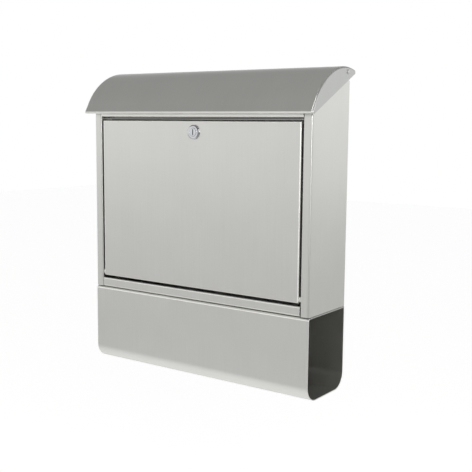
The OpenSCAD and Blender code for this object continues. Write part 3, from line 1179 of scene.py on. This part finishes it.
@dataclass
class Hood(Part):
    """Lifting hood: rolled sheet with a flanged lip, two end caps and its hinge parts."""

    body: ClassVar[str] = "hood"
    curve: HoodArc
    nose: float = 0.7 * MM
    droop: float = 0.9 * MM
    lip_root: float = 3 * MM
    lip_bend: float = 2.2 * MM
    flange: float = 5 * MM
    cap_drop: float = 5 * MM
    cap_least: float = 0.3 * MM
    cap_steps: int = 72
    ground: float = 3 * MM
    ground_steps: int = 3
    play: float = 0.05 * MM
    # Painted highlight on the caps' ground rim, which shows by how far its faces turn outwards, and
    # a fainter one on the sheet's bends and edges
    rim_facing: Pair = (0.1, 0.97)
    rim_shine: float = 1.6
    edge_shine: float = 0.4
    # Bearings on a pin's head in degrees, with their depth in mm
    head: tuple[tuple[int, float], ...] = (
        (90, 0.0), (65, 0.02), (45, 0.12), (25, 0.35), (8, 0.75))

    @property
    def length(self) -> float:
        """Length of the curve along the middle of the sheet."""
        return self.curve.middle * (self.curve.front - self.curve.back)

    @property
    def edge(self) -> Vector:
        """Corner of the lip's edge on the middle line, before it is bent round."""
        return Vector((self.curve.low.y - self.nose,
                       self.curve.low.z + SHEET / 2 - self.droop))

    @property
    def rise(self) -> float:
        """Height of the rear edge above the lip."""
        return (self.curve.centre.y + self.curve.outer * math.sin(self.curve.back)
                - self.curve.low.z)

    def blank(self) -> Mesh:
        """Builds the flat blank, with its lip already folded against the curve's end.

        Returns:
            The blank.
        """
        normal = ray(self.curve.front)
        tangent = left_of(normal)
        end = self.curve.centre + normal * self.curve.middle
        flat = points((0.0, 0.0), (self.length, 0.0))
        for corner in (self.edge, self.edge + Vector((self.flange, 0.0))):
            arm = corner - end
            flat.append(Vector((self.length + arm.dot(tangent), arm.dot(normal))))
        sheet = FoldedSheet(flat, [0, self.lip_root, self.lip_bend, 0], crown=self.ground,
                            longest=FINE, bend_steps=16)
        span = (self.curve.low.x, self.curve.high.x)
        return sheet.swept("hood_blank", across, lambda _: span, cuts=6)

    def sheet(self) -> None:
        """Rolls the blank into the hood."""
        mesh = run_tree(self.blank(), roll_tree(), {
            "Radius": self.curve.middle, "Start bearing": self.curve.back,
            "Curved length": self.length, "Centre depth": self.curve.centre.x,
            "Centre height": self.curve.centre.y,
            "Finish": self.fitter.material(WRAPPED_SATIN)})
        bm = bmesh.new()
        bm.from_mesh(mesh)
        self.put(closed_mesh("hood", bm), "hood_sheet", "rolled", "hood_steel", WRAPPED_SATIN,
                 painted_sheen=self.edge_shine)

    def cap_outline(self, depth: float, rear: float) -> list[Vector]:
        """Outline of an end cap that lies at a depth below the sheet's outer face.

        Args:
            depth: Depth below the sheet's outer face.
            rear: Where the cap ends at the back.

        Returns:
            The curve from the back to the lip, then the straight lower edge.
        """
        curve = self.curve
        radius = curve.outer - depth
        top = curve.centre.y + math.sqrt(radius**2 - (rear - curve.centre.x) ** 2)
        start = math.atan2(top - curve.centre.y, rear - curve.centre.x)
        end = curve.centre + radius * ray(curve.front)
        corner = curve.centre + curve.middle * ray(curve.front)
        low = curve.low.z + SHEET + self.play - self.droop
        fall = (self.edge - corner).normalized()
        lip = end + fall * ((low + MM - end.y) / fall.y)
        flange = self.edge.x + self.flange
        tail = min(curve.low.z + self.rise - self.cap_drop, top - self.cap_least)
        return [*arc(curve.centre, radius, start, curve.front, self.cap_steps), lip,
                *points((lip.x + MM / 2, low), (flange, low), (flange + self.play, low - SHEET),
                        (rear, tail))]

    def end_cap(self, side: Side) -> None:
        """Cuts one end cap, its rim ground to the same round as the sheet's end.

        Args:
            side: Which end of the box.
        """
        node = side.node("hood_end_cap")
        low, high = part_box(node)
        outer, inwards = side.ends(low.x, high.x)[1], -side.value
        rings = []
        last = math.asin(1 - (SHEET + self.play) / self.ground)
        for k in range(self.ground_steps + 1):
            back, depth = rounding(self.ground, last * k / self.ground_steps)
            outline = self.cap_outline(depth, high.y)
            rings.append([across(p, outer + inwards * back) for p in outline])
        rings.append([across(p, outer + inwards * SHEET) for p in outline])
        hole = rod("hole", Axis.X, centre_of(side.node("hood_pin")), (low.x - MM, high.x + MM),
                   PIN_R)
        cap = drilled(skin(node, rings), hole)

        def shine(face: Face) -> float:
            """Paints a highlight on the ground rim in front, brighter the lower it is.

            Args:
                face: A face of the cap.

            Returns:
                How bright the painted highlight is.
            """
            least, most = self.rim_facing
            if least < face.normal.x * side.value < most and face.normal.y < 0.0:
                share = (high.z - face.center.z) / (high.z - low.z)
                return self.rim_shine * share
            return 0.0

        # Painted highlight on the cap's rim
        mark_faces(cap, shine)
        self.put(cap, node, "plate", "hood_steel", CAP_SATIN, painted_sheen=0.0)

    def pin(self, side: Side) -> None:
        """Turns one hinge pin with a domed head on the outside.

        Args:
            side: Which end of the box.
        """
        node, way = side.node("hood_pin"), side.value
        low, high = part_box(node)
        head_r = (high.z - low.z) / 2
        root, tip = side.ends(low.x, high.x)
        seat = tip - way * MM
        dome = points(*((tip - way * MM * share, head_r * math.cos(math.radians(angle)))
                        for angle, share in self.head))
        dome[0].y = 0.0
        corners = points((root, 0), (root, PIN_R - EDGE), (root + way * EDGE, PIN_R),
                         (seat, PIN_R), (seat, head_r))
        pin = turned(node, Axis.X, centre_of(node), corners + dome[::-1], sides=40)
        self.put(pin, node, "turned", "rivet_steel", TURNED_STEEL)

    def build(self) -> None:
        """Builds and dresses the whole hood."""
        self.sheet()
        for side in Side:
            self.end_cap(side)
            self.pin(side)
            self.nylon_ring(side.node("hood_spacer"))
            self.fitter.dress(side.node("hood_clip"), ZINC)


@dataclass
class Case(Part):
    """Case: wrapped shell, floor pan, top rail and hood buffers."""

    body: ClassVar[str] = "case"
    curve: HoodArc
    hood_clear: float = 3.5 * MM
    ear: float = 4.5 * MM
    stop_in: float = 3.656 * MM
    stop_drop: float = 9.843 * MM
    relief: float = 8 * MM
    overlap: float = 2 * MM
    wall_hole: float = 4 * MM
    wall_dx: float = 280 * MM
    wall_dz: float = 180 * MM
    seam: float = 0.8 * MM
    corner: float = 2.8 * MM
    # Bottom rail and floor
    rail_hem: float = 4 * MM
    rail_sink: float = 0.4 * MM
    tight: float = 3.2 * MM
    pan_flange: float = 12 * MM
    # Top rail and the keeper lip behind it
    rail_end: float = 0.1 * MM
    rail_skirt: float = 3 * MM
    keeper_run: float = 12 * MM
    keeper_sag: float = 0.7 * MM
    # Painted light on the rail, and how far a face looks to the front to take it: painted shade on
    # the keeper lip and on front-facing edges behind the face, a painted highlight on the face
    keeper_shade: float = -1.4
    shade_facing: float = -0.5
    edge_shade: float = -0.9
    edge_facing: float = -0.3
    painted_sheen: float = 1.0
    # Buffer: gap to the hood, depth below the side's edge, bearings from the hood's front
    pad_gap: float = 0.3 * MM
    pad_grip: float = 4 * MM
    pad_span: Pair = (math.radians(10), math.radians(18))
    pad_corner: float = 0.6 * MM
    pad_ease: float = 0.5 * MM
    pad_steps: int = 10
    slot_depth: float = 9 * MM
    slot_steps: int = 12
    slot_ease: float = 0.01 * MM

    def __post_init__(self) -> None:
        """Reads the sizes that the frame gives."""
        self.low, self.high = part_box("case_shell")
        self.rail_low, self.rail_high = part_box("top_rail")
        self.side_x = self.high.x
        self.front = self.low.y
        self.stile_x = self.rail_high.x + self.seam
        self.stop_y = self.rail_high.y
        self.mouth = self.rail_high.z
        self.door_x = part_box("door_panel")[1].x
        self.hinge = centre_of("hood_pin_right")
        self.door_hinge = centre_of("door_bush_right")

    def side_top(self, y: float) -> float:
        """Height of a side's upper edge at a depth.

        Args:
            y: Depth of the point.

        Returns:
            The height of the curve below the hood, of the hinge ear, or of the slope
            behind it that clears the swung hood.
        """
        ear_y, ear_z = self.hinge.y, self.hinge.z
        stop = Vector((-self.stop_in, ear_z - self.stop_drop))
        if y >= stop.x:
            return stop.y
        arm = Vector((ear_y, ear_z)) - stop
        swing = math.atan2(arm.y, arm.x) - math.asin(self.ear / arm.length)
        reach = math.sqrt(arm.length**2 - self.ear**2)
        touch = stop + reach * ray(swing)
        if y > touch.x:
            return stop.y + (y - stop.x) * math.tan(swing)
        under_hood = self.curve.height_at(y, self.curve.inner - self.hood_clear)
        if abs(y - ear_y) >= self.ear:
            return under_hood
        ear_top = ear_z + math.sqrt(self.ear**2 - (y - ear_y) ** 2)
        return ear_top if y > ear_y else max(under_hood, ear_top)

    def shell_ends(self, point: Vector) -> Pair:
        """Where the wrapped sheet starts and ends in height.

        Args:
            point: Point of its plan.

        Returns:
            Its lower and its upper edge.
        """
        low, high = self.low.z, self.side_top(point.y)
        x, fore = abs(point.x), -self.curve.outer / 2
        if x < self.side_x - self.corner and point.y < fore:
            high = self.mouth
        if x < self.stile_x + SHEET and self.stop_y - MM / 2 < point.y < fore:
            low = self.door_hinge.z + self.relief
        return low, high

    def shell(self) -> None:
        """Wraps the shell: stop flange, return, stile, side, back, and the same again."""
        half = SHEET / 2
        stop, edge = self.stop_y + half, self.stile_x + half
        front, side = self.front + half, self.side_x - half
        right = points((self.door_x - self.overlap, stop), (edge, stop), (edge, front),
                       (side, front), (side, -half))
        left = [Vector((-p.x, p.y)) for p in reversed(right)]
        radii = [BEND, BEND, BEND, self.corner, BEND]
        plan = FoldedSheet(right + left, radii + radii[::-1], longest=FINE)
        mesh = plan.swept("shell", upright, self.shell_ends)
        holes = []
        for sx in (-1, 1):
            for sz in (-1, 1):
                at = Vector((sx * self.wall_dx / 2, 0.0, sz * self.wall_dz / 2))
                holes.append(rod("hole", Axis.Y, at, (-3 * SHEET, SHEET), self.wall_hole))
            for x, pin in ((self.side_x, self.hinge), (self.stile_x, self.door_hinge)):
                span = (sx * x - THROUGH, sx * x + THROUGH)
                holes.append(rod("hole", Axis.X, pin, span, PIN_HOLE))
        self.put(drilled(mesh, joined(holes, "holes")), "case_shell", "folded", "case_steel",
                 UPRIGHT_SATIN, painted_sheen=0.0)

    def floor_pan(self) -> None:
        """Folds the floor pan: front flange one way, side flanges the other."""
        low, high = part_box("floor_pan")
        half = SHEET / 2
        floor, front, side = low.z + half, self.front + half, high.x - half
        top, flange = high.z - half - self.rail_sink, low.z + self.pan_flange
        tall = points((front + self.rail_hem, top), (front, top), (front, floor), (high.y, floor))
        wide = points((-side, flange), (-side, floor), (side, floor), (side, flange))
        end = self.stile_x - self.seam
        rail = FoldedSheet(tall, [0, BEND, self.tight, 0]).swept(
            "rail", across, lambda _: (-end, end))
        depth = (self.stop_y + 3 * SHEET, -2 * SHEET)
        pan = FoldedSheet(wide, [BEND] * 4).swept("pan", along_depth, lambda _: depth)
        self.put(combined(rail, pan, "UNION"), "floor_pan", "folded", "case_steel", UPRIGHT_SATIN)

    def top_rail(self) -> None:
        """Folds the rail along the mouth, with the keeper lip behind the door's top."""
        low, high = self.rail_low, self.rail_high
        half = SHEET / 2
        front, keeper, top = self.front + half, high.y - half, high.z - half
        lip = low.z + half - self.keeper_sag
        section = points((front, low.z + self.rail_skirt), (front, top), (keeper, top),
                         (keeper, lip), (keeper - self.keeper_run, lip))

        def ends(point: Vector) -> Pair:
            """Stops the rail's face short of the stiles; its keeper runs behind them."""
            reach = high.x if point.x > high.y - BEND else self.stile_x - self.rail_end
            return -reach, reach

        def shine(face: Face) -> float:
            """Paints a highlight on the rail's face, and painted shade on the keeper lip and
            front-facing edges behind it, as dark as the inside.

            Args:
                face: A face of the rail.

            Returns:
                Its painted light: a painted highlight above 0, painted shade below 0.
            """
            if face.normal.y < self.shade_facing and face.center.y > keeper - BEND:
                return self.keeper_shade
            if face.normal.y < self.edge_facing and face.center.y > front + BEND:
                return self.edge_shade
            return self.painted_sheen if face.center.y < front else 0.0

        rail = FoldedSheet(section, [BEND] * 5).swept("rail", across, ends)
        # Painted highlight on the rail's face, painted shade on its keeper lip and the edges behind
        mark_faces(rail, shine)
        self.put(rail, "top_rail", "folded", "case_steel", UPRIGHT_SATIN, painted_sheen=0.0)

    def buffer(self, side: Side) -> None:
        """Moulds the rubber pad that grips one side's edge under the hood.

        Args:
            side: Which end of the box.
        """
        node = side.node("hood_buffer")
        low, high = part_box(node)
        curve, limit = self.curve, self.curve.inner - self.hood_clear
        first, last = (curve.front - bearing for bearing in self.pad_span)
        outline = (arc(curve.centre, curve.inner - self.pad_gap, last, first, self.pad_steps)
                   + arc(curve.centre, limit - self.pad_grip, first, last, self.pad_steps))
        pad = plate(node, eased(outline, self.pad_corner, closed=True), Axis.X,
                    (low.x, high.x), self.pad_ease)
        start, run = high.y + MM, low.y - high.y - 2 * MM
        foot = low.z - self.slot_depth
        slot = points((low.y - MM, foot), (high.y + MM, foot))
        for k in range(self.slot_steps + 1):
            y = start + run * k / self.slot_steps
            slot.append(Vector((y, curve.height_at(y, limit))))
        near, far = sorted(side.value * x for x in (self.side_x - SHEET, self.side_x))
        cut = plate("slot", slot, Axis.X, (near, far), self.slot_ease)
        self.put(drilled(pad, cut), node, "moulded", "black_rubber", RUBBER)

    def build(self) -> None:
        """Builds and dresses the whole case."""
        self.shell()
        self.floor_pan()
        self.top_rail()
        for side in Side:
            self.buffer(side)


@dataclass
class Tray(Part):
    """Newspaper tray: one wrapped channel, open at both ends, and its rivets."""

    body: ClassVar[str] = "case"
    round_bend: float = 21 * MM
    top_bend: float = 3 * MM
    short: float = 0.2 * MM
    seam: float = 0.6 * MM
    slit: float = 0.6 * MM
    # Rivets: radii, then thicknesses
    collar: float = 3.5 * MM
    shank: float = 2 * MM
    head: float = 4 * MM
    tail: float = 3 * MM
    head_t: float = 1.2 * MM
    tail_t: float = MM
    tail_ease: float = 0.5 * MM
    dome: tuple[int, ...] = (12, 35, 60, 90)
    seed: int = 4

    def channel(self) -> None:
        """Folds the channel round its four corners."""
        low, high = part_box("newspaper_tray")
        half = SHEET / 2
        top, bottom = high.z - half - self.slit, low.z + half
        front, back = low.y + half, high.y - half
        section = points((-SHEET - self.seam, top), (front, top), (front, bottom),
                         (back, bottom), (back, high.z))
        radii = [0.0, self.top_bend, self.round_bend, self.round_bend, 0.0]
        sheet = FoldedSheet(section, radii, bend_steps=20)
        span = (low.x + self.short, high.x - self.short)
        self.put(sheet.swept("tray", across, lambda _: span), "newspaper_tray", "folded",
                 "tray_steel", WRAPPED_SATIN)

    def rivets(self) -> None:
        """Sets the domed rivets through the tray's top and the case's floor."""
        low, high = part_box("tray_rivets")
        top, bottom = high.z - self.head_t, low.z + self.tail_t
        middle = (top + bottom) / 2
        seats = bpy.data.meshes.new("rivet_seats")
        seats.from_pydata([(x, y, middle) for x in (low.x + self.head, high.x - self.head)
                           for y in (low.y + self.head, high.y - self.head)], [], [])
        grip = top - middle
        foot, under = -grip - self.tail_t, -grip - self.slit
        profile = points(
            (foot, 0), (foot, self.tail - self.tail_ease), (under, self.tail), (under, self.shank),
            (-self.slit, self.shank), (-self.slit, self.collar), (0.0, self.collar),
            (0.0, self.shank), (grip, self.shank), (grip, self.head),
            *((grip + self.head_t * math.sin(a), self.head * math.cos(a))
              for a in map(math.radians, self.dome)))
        profile[-1].y = 0.0
        one = bpy.data.objects.new(
            "rivet", turned("rivet", Axis.Z, Vector((0, 0, 0)), profile, sides=32))
        mesh = run_tree(seats, seat_tree(), {
            "Fastener": one, "Largest turn": 2 * math.pi, "Seed": self.seed,
            "Finish": self.fitter.material(TURNED_STEEL)})
        bpy.data.objects.remove(one)
        self.put(mesh, "tray_rivets", "domed", "rivet_steel", TURNED_STEEL)

    def build(self) -> None:
        """Builds and dresses the tray."""
        self.channel()
        self.rivets()


@dataclass
class Door(Part):
    """Front door: a shallow pan that drops down on two pins at its lower corners."""

    body: ClassVar[str] = "door"
    corner: float = 0.9 * MM
    corner_least: float = 0.2 * MM
    bend_steps: int = 8
    top_gap: float = 0.7 * MM
    sink: float = 0.4 * MM
    lock_hole: float = 8.1 * MM
    head_t: float = 1 * MM
    pin_ease: float = 0.3 * MM

    def __post_init__(self) -> None:
        """Reads the sizes that the frame gives."""
        low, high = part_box("door_panel")
        self.low = low - Vector((0, 0, self.sink))
        self.high = high - Vector((0, 0, self.top_gap))
        self.lock = centre_of("lock_housing")

    def ring(self, depth_in: float, y: float) -> list[Vector]:
        """One rounded rectangle of the pan.

        Args:
            depth_in: How far it lies inside the door's outline.
            y: Its depth.

        Returns:
            Its points, anticlockwise from the front.
        """
        margin = Vector((depth_in, depth_in))
        corners = rectangle(self.low.xz + margin, self.high.xz - margin)
        radius = max(self.corner - depth_in, self.corner_least)
        return [along_depth(p, y) for p in eased(corners, radius, closed=True, steps=4)]

    def pan(self) -> None:
        """Builds the pan: outer bend, cut rim, inner bend and the lock's hole."""
        front, back = self.low.y, self.high.y
        steps = [math.radians(90 * k / self.bend_steps) for k in range(self.bend_steps + 1)]
        rim = [rounding(EDGE, a) for a in EASE_ANGLES]
        places = [(inside, front + behind)
                  for behind, inside in (rounding(BEND, a) for a in steps)]
        places += [(behind, back - inside) for behind, inside in rim]
        places += [(SHEET - behind, back - inside) for behind, inside in reversed(rim)]
        places += [(SHEET + inside, front + SHEET + behind)
                   for behind, inside in (rounding(BEND - SHEET, a) for a in reversed(steps))]
        pan = skin("pan", [self.ring(depth_in, y) for depth_in, y in places])
        hole = rod("hole", Axis.Y, self.lock, (front - MM, front + THROUGH), self.lock_hole)
        self.fitter.fit(drilled(pan, hole), "door_pan_folded", self.body, "door_steel",
                        UPRIGHT_SATIN, "door_panel")

    def pin(self, side: Side) -> None:
        """Turns one hinge pin with its head inside the door's edge.

        Args:
            side: Which end of the box.
        """
        node = side.node("door_pin")
        low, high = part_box(node)
        inner, tip = side.ends(low.x, high.x)
        head, seat = (high.z - low.z) / 2, inner + side.value * self.head_t
        corners = points((inner, 0), (inner, head), (seat, head), (seat, PIN_R), (tip, PIN_R),
                         (tip, 0))
        pin = turned(node, Axis.X, centre_of(node), eased(corners, self.pin_ease, closed=False))
        self.put(pin, node, "turned", "rivet_steel", TURNED_STEEL)

    def build(self) -> None:
        """Builds and dresses the door."""
        self.pan()
        for side in Side:
            self.pin(side)
            self.nylon_ring(side.node("door_bush"))
            self.fitter.dress(side.node("door_clip"), ZINC)


@dataclass
class Lock(Part):
    """Cam lock: barrel with a collar, nut, turning plug, cam and its nut."""

    body: ClassVar[str] = "lock"
    # Radii
    barrel: float = 8 * MM
    plug: float = 5.5 * MM
    stud: float = 2.5 * MM
    arm: float = 4.5 * MM
    play: float = 0.05 * MM
    # Thicknesses, and the side of the square that drives the cam
    collar_t: float = 2 * MM
    cam_t: float = 2 * MM
    square: float = 6 * MM
    overlap: float = 0.2 * MM
    # Slope of the collar's edge, along the axis and across it
    slope: Pair = (0.7 * MM, 1.6 * MM)
    nut_chamfer: float = 0.6
    # Width, depth and height of the key slot
    key: tuple[float, float, float] = (1.4 * MM, 4 * MM, 8 * MM)
    key_corner: float = 0.4 * MM
    # Roundings of the barrel, the plug, the stud, the cam and of small cut edges
    barrel_ease: float = 0.3 * MM
    plug_ease: float = 0.35 * MM
    stud_ease: float = 0.5 * MM
    cam_ease: float = 0.25 * MM
    fine_ease: float = 0.1 * MM

    def __post_init__(self) -> None:
        """Reads the lock's axis from the frame, and its place on the front."""
        self.axis = centre_of("lock_housing")
        self.centre = self.axis.xz

    def housing(self) -> None:
        """Turns the barrel, with a stepped collar on the door's face."""
        low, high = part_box("lock_housing")
        collar, seat = (high.x - low.x) / 2, low.y + self.collar_t
        bore = self.plug + self.play
        corners = points((low.y, bore), (low.y, collar - self.slope[1]),
                         (low.y + self.slope[0], collar), (seat, collar), (seat, self.barrel),
                         (high.y, self.barrel), (high.y, bore))
        mesh = turned("housing", Axis.Y, self.axis, eased(corners, self.barrel_ease, closed=True),
                      ring_shaped=True, sides=96)
        self.put(mesh, "lock_housing", "turned", "lock_chrome", CHROME, body="door")

    def nut(self, node: str, body: str, bore: float) -> None:
        """Cuts one hexagon nut with chamfered corners.

        Args:
            node: Frame node of the nut.
            body: Body that it rides on.
            bore: Radius of its hole.
        """
        low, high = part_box(node)
        corner = (high.x - low.x) / 2
        block = plate(node, hexagon(corner, self.centre), Axis.Y, (low.y, high.y), self.fine_ease)
        flat = corner * math.cos(math.radians(30))
        chamfer = (corner - flat) * self.nut_chamfer
        cone = points((low.y, 0), (low.y, flat), (low.y + chamfer, corner),
                      (high.y - chamfer, corner), (high.y, flat), (high.y, 0))
        block = combined(block, turned("cone", Axis.Y, self.axis, cone, sides=60), "INTERSECT")
        hole = rod("hole", Axis.Y, self.axis, (low.y - MM, high.y + MM), bore)
        self.put(drilled(block, hole), node, "hexagon", "zinc_plate", ZINC, body=body)

    def turning_plug(self) -> None:
        """Turns the plug with its key slot, its square and its stud."""
        low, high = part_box("lock_plug")
        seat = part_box("lock_cam")[0].y
        width, depth, height = self.key
        half = self.square / 2
        face = points((low.y, 0), (low.y, self.plug), (seat, self.plug), (seat, 0))
        plug = turned("plug", Axis.Y, self.axis, eased(face, self.plug_ease, closed=False),
                      sides=72)
        slot = eased(about(self.centre, width / 2, height / 2), self.key_corner, closed=True)
        cut = plate("slot", slot, Axis.Y, (low.y - MM, low.y + depth), self.fine_ease)
        square = eased(about(self.centre, half, half), self.key_corner, closed=True)
        drive = plate("drive", square, Axis.Y, (seat - self.overlap, seat + self.cam_t),
                      self.fine_ease)
        stud = rod("stud", Axis.Y, self.axis, (seat + self.cam_t - self.overlap, high.y),
                   self.stud, self.stud_ease, sides=40)
        mesh = combined(combined(drilled(plug, cut), drive, "UNION"), stud, "UNION")
        self.put(mesh, "lock_plug", "turned", "lock_chrome", CHROME)

    def cam(self) -> None:
        """Cuts the cam: a round hub with a round-ended arm and a square hole."""
        low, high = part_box("lock_cam")
        hub, half = high.x - self.axis.x, self.square / 2
        tip = Vector((low.x + self.arm, self.axis.z))
        meet = math.asin(self.arm / hub)
        outline = (arc(self.centre, hub, math.pi + meet, 3 * math.pi - meet, 48)
                   + arc(tip, self.arm, math.pi / 2, 3 * math.pi / 2, 24))
        cam = plate("cam", outline, Axis.Y, (low.y, high.y), self.cam_ease)
        hole = plate("hole", about(self.centre, half, half), Axis.Y, (low.y - MM, high.y + MM),
                     self.play)
        self.put(drilled(cam, hole), "lock_cam", "cut", "zinc_plate", ZINC)

    def build(self) -> None:
        """Builds and dresses the lock."""
        self.housing()
        self.nut("lock_nut", "door", self.barrel)
        self.turning_plug()
        self.cam()
        self.nut("cam_nut", "lock", self.stud)


# ---- Studio ----


@dataclass
class Studio:
    """Plain pale studio: floor, soft lamps, world and camera."""

    low: Vector
    high: Vector
    drop: float = 0.95
    floor_size: float = 12.0
    # Light of the tent in front and behind, and of the opening that the camera looks through
    in_front: float = 1.3
    behind: float = 1.22
    opening: Pair = (0.5, 0.9)
    opening_dark: float = 0.3
    # Bearings in degrees above the horizon with the tent's grey there
    tent: tuple[tuple[int, float], ...] = (
        (-90, 0.75), (-6, 0.85), (-1, 1.0), (12, 1.0), (18, 0.8), (26, 0.27), (34, 0.31),
        (48, 0.335), (90, 0.335))
    # Glow of the floor to the camera, then near the box and far from it
    floor_lift: float = 0.63
    floor_near: float = 0.7
    floor_far: float = 0.28
    pool: Pair = (1.0, 3.2)
    azimuth: float = 35.279
    elevation: float = 7.575
    roll: float = 0.49
    lens: float = 64.109
    sensor: float = 36.0
    distance: float = 1.1525
    aim: tuple[float, float, float] = (0.02909, 0.01777, -0.01565)

    @property
    def middle(self) -> Vector:
        """Middle of the box."""
        return (self.low + self.high) / 2

    def camera(self) -> None:
        """Aims the camera at the box from the front right, a little from above."""
        data = bpy.data.cameras.new("camera")
        data.lens = self.lens
        data.sensor_width = self.sensor
        data.clip_start, data.clip_end = 0.01, 50.0
        camera = linked("camera", data)
        yaw, pitch = math.radians(self.azimuth), math.radians(self.elevation)
        back = Vector((math.sin(yaw) * math.cos(pitch), -math.cos(yaw) * math.cos(pitch),
                       math.sin(pitch)))
        turn = (Matrix.Rotation(yaw, 4, "Z") @ Matrix.Rotation(math.pi / 2 - pitch, 4, "X")
                @ Matrix.Rotation(math.radians(self.roll), 4, "Z"))
        target = self.middle + Vector(self.aim)
        camera.matrix_world = Matrix.Translation(target + back * self.distance) @ turn
        bpy.context.scene.camera = camera

    def opening_share(self, tree: Tree, way: Socket) -> Socket:
        """Adds the dimmer stretch of the tent, left open for the camera.

        Args:
            tree: Node tree of the world or of the floor.
            way: Direction from the box, of any length.

        Returns:
            The share of light that is left: 1 away from the opening.
        """
        yaw = math.radians(self.azimuth)
        level = vector_calc(tree, "MULTIPLY", way, (1.0, 1.0, 0.0))[0]
        unit = vector_calc(tree, "NORMALIZE", level)[0]
        facing = vector_calc(tree, "DOT_PRODUCT", unit, (math.sin(yaw), -math.cos(yaw), 0.0))
        return mapped(tree, facing["Value"], self.opening, (1.0, self.opening_dark))

    def floor(self) -> None:
        """Lays a wide pale floor well below the box."""
        z = self.low.z - self.drop
        mesh = bpy.data.meshes.new("floor")
        corners = about(Vector((0.0, 0.0)), self.floor_size, self.floor_size)
        mesh.from_pydata([(p.x, p.y, z) for p in corners], [], [(0, 1, 2, 3)])
        material = bpy.data.materials.new("pale_floor")
        tree = cleared(material)
        paint = add_node(tree, "ShaderNodeBsdfDiffuse", {"Color": linear("#ececec")})
        path = add_node(tree, "ShaderNodeLightPath").outputs
        mirrored = calc(tree, "MAXIMUM", path["Is Glossy Ray"], path["Is Transmission Ray"])
        place = object_place(tree)
        flat = vector_calc(tree, "MULTIPLY", place, (1.0, 1.0, 0.0))[0]
        away = vector_calc(tree, "LENGTH", flat)["Value"]
        pool = mapped(tree, away, self.pool, (self.floor_near, self.floor_far))
        lit = calc(tree, "MULTIPLY", pool, self.opening_share(tree, place))
        shown = calc(tree, "MULTIPLY", mirrored, lit)
        seen = calc(tree, "MULTIPLY_ADD", path["Is Camera Ray"], self.floor_lift, shown)
        glow = add_node(tree, "ShaderNodeEmission", {
            "Color": linear("#ffffff"), "Strength": seen})
        whole = add_node(tree, "ShaderNodeAddShader", {0: paint.outputs[0], 1: glow.outputs[0]})
        add_node(tree, "ShaderNodeOutputMaterial", {"Surface": whole.outputs[0]})
        mesh.materials.append(material)
        linked("floor", mesh)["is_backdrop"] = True

    def world(self) -> None:
        """Surrounds the box with a pale tent that is darker overhead."""
        world = bpy.data.worlds.new("tent")
        tree = cleared(world)
        way = add_node(tree, "ShaderNodeTexCoord").outputs["Generated"]
        parts = add_node(tree, "ShaderNodeSeparateXYZ", {0: way}).outputs
        height = mapped(tree, parts["Z"], (-1.0, 1.0), (0.0, 1.0))
        behind = mapped(tree, parts["Y"], (-1.0, 1.0), (self.in_front, self.behind))
        ramp = add_node(tree, "ShaderNodeValToRGB", {0: height})
        elements = ramp.color_ramp.elements
        while len(elements) < len(self.tent):
            elements.new(0.5)
        for element, (bearing, level) in zip(elements, self.tent):
            element.position = (math.sin(math.radians(bearing)) + 1) / 2
            element.color = (level, level, level, 1.0)
        strength = calc(tree, "MULTIPLY", behind, self.opening_share(tree, way))
        tent = add_node(tree, "ShaderNodeBackground", {
            "Color": ramp.outputs[0], "Strength": strength})
        white = add_node(tree, "ShaderNodeBackground", {
            "Color": linear("#ffffff"), "Strength": 1.0})
        path = add_node(tree, "ShaderNodeLightPath").outputs
        mixed = add_node(tree, "ShaderNodeMixShader", {
            0: path["Is Camera Ray"], 1: tent.outputs[0], 2: white.outputs[0]})
        add_node(tree, "ShaderNodeOutputWorld", {"Surface": mixed.outputs[0]})
        bpy.context.scene.world = world

    def lamp(self, name: str, at: tuple[float, float, float], size: float, power: float) -> None:
        """Hangs one soft square lamp that faces the box.

        Args:
            name: Name of the lamp.
            at: Its place from the middle of the box, in metres.
            size: Length of its sides.
            power: Its power in watts.
        """
        data = bpy.data.lights.new(name, "AREA")
        data.size = size
        data.energy = power
        lamp = linked(name, data)
        lamp.location = self.middle + Vector(at)
        lamp.rotation_mode = "QUATERNION"
        lamp.rotation_quaternion = Vector(at).to_track_quat("Z", "Y")

    def build(self) -> None:
        """Sets up the whole studio."""
        self.camera()
        self.floor()
        self.world()
        self.lamp("key", (1.0, -1.2, 0.45), size=0.5, power=9.0)
        self.lamp("high", (0.55, -0.8, 1.25), size=0.35, power=2.5)
        bpy.context.scene.view_settings.view_transform = "Standard"


def main() -> None:
    """Builds the mailbox and its studio."""
    logging.basicConfig(level=logging.INFO, format="%(name)s: %(message)s")
    cad_low, cad_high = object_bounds()
    fitter = Fitter()
    curve = HoodArc()
    for part in (Case(fitter, curve), Tray(fitter), Hood(fitter, curve), Door(fitter),
                 Lock(fitter)):
        part.build()
    Studio(cad_low, cad_high).build()
    bpy.context.view_layer.update()
    LOG.info("%d pieces fitted", fitter.count)


if __name__ == "__main__":
    main()
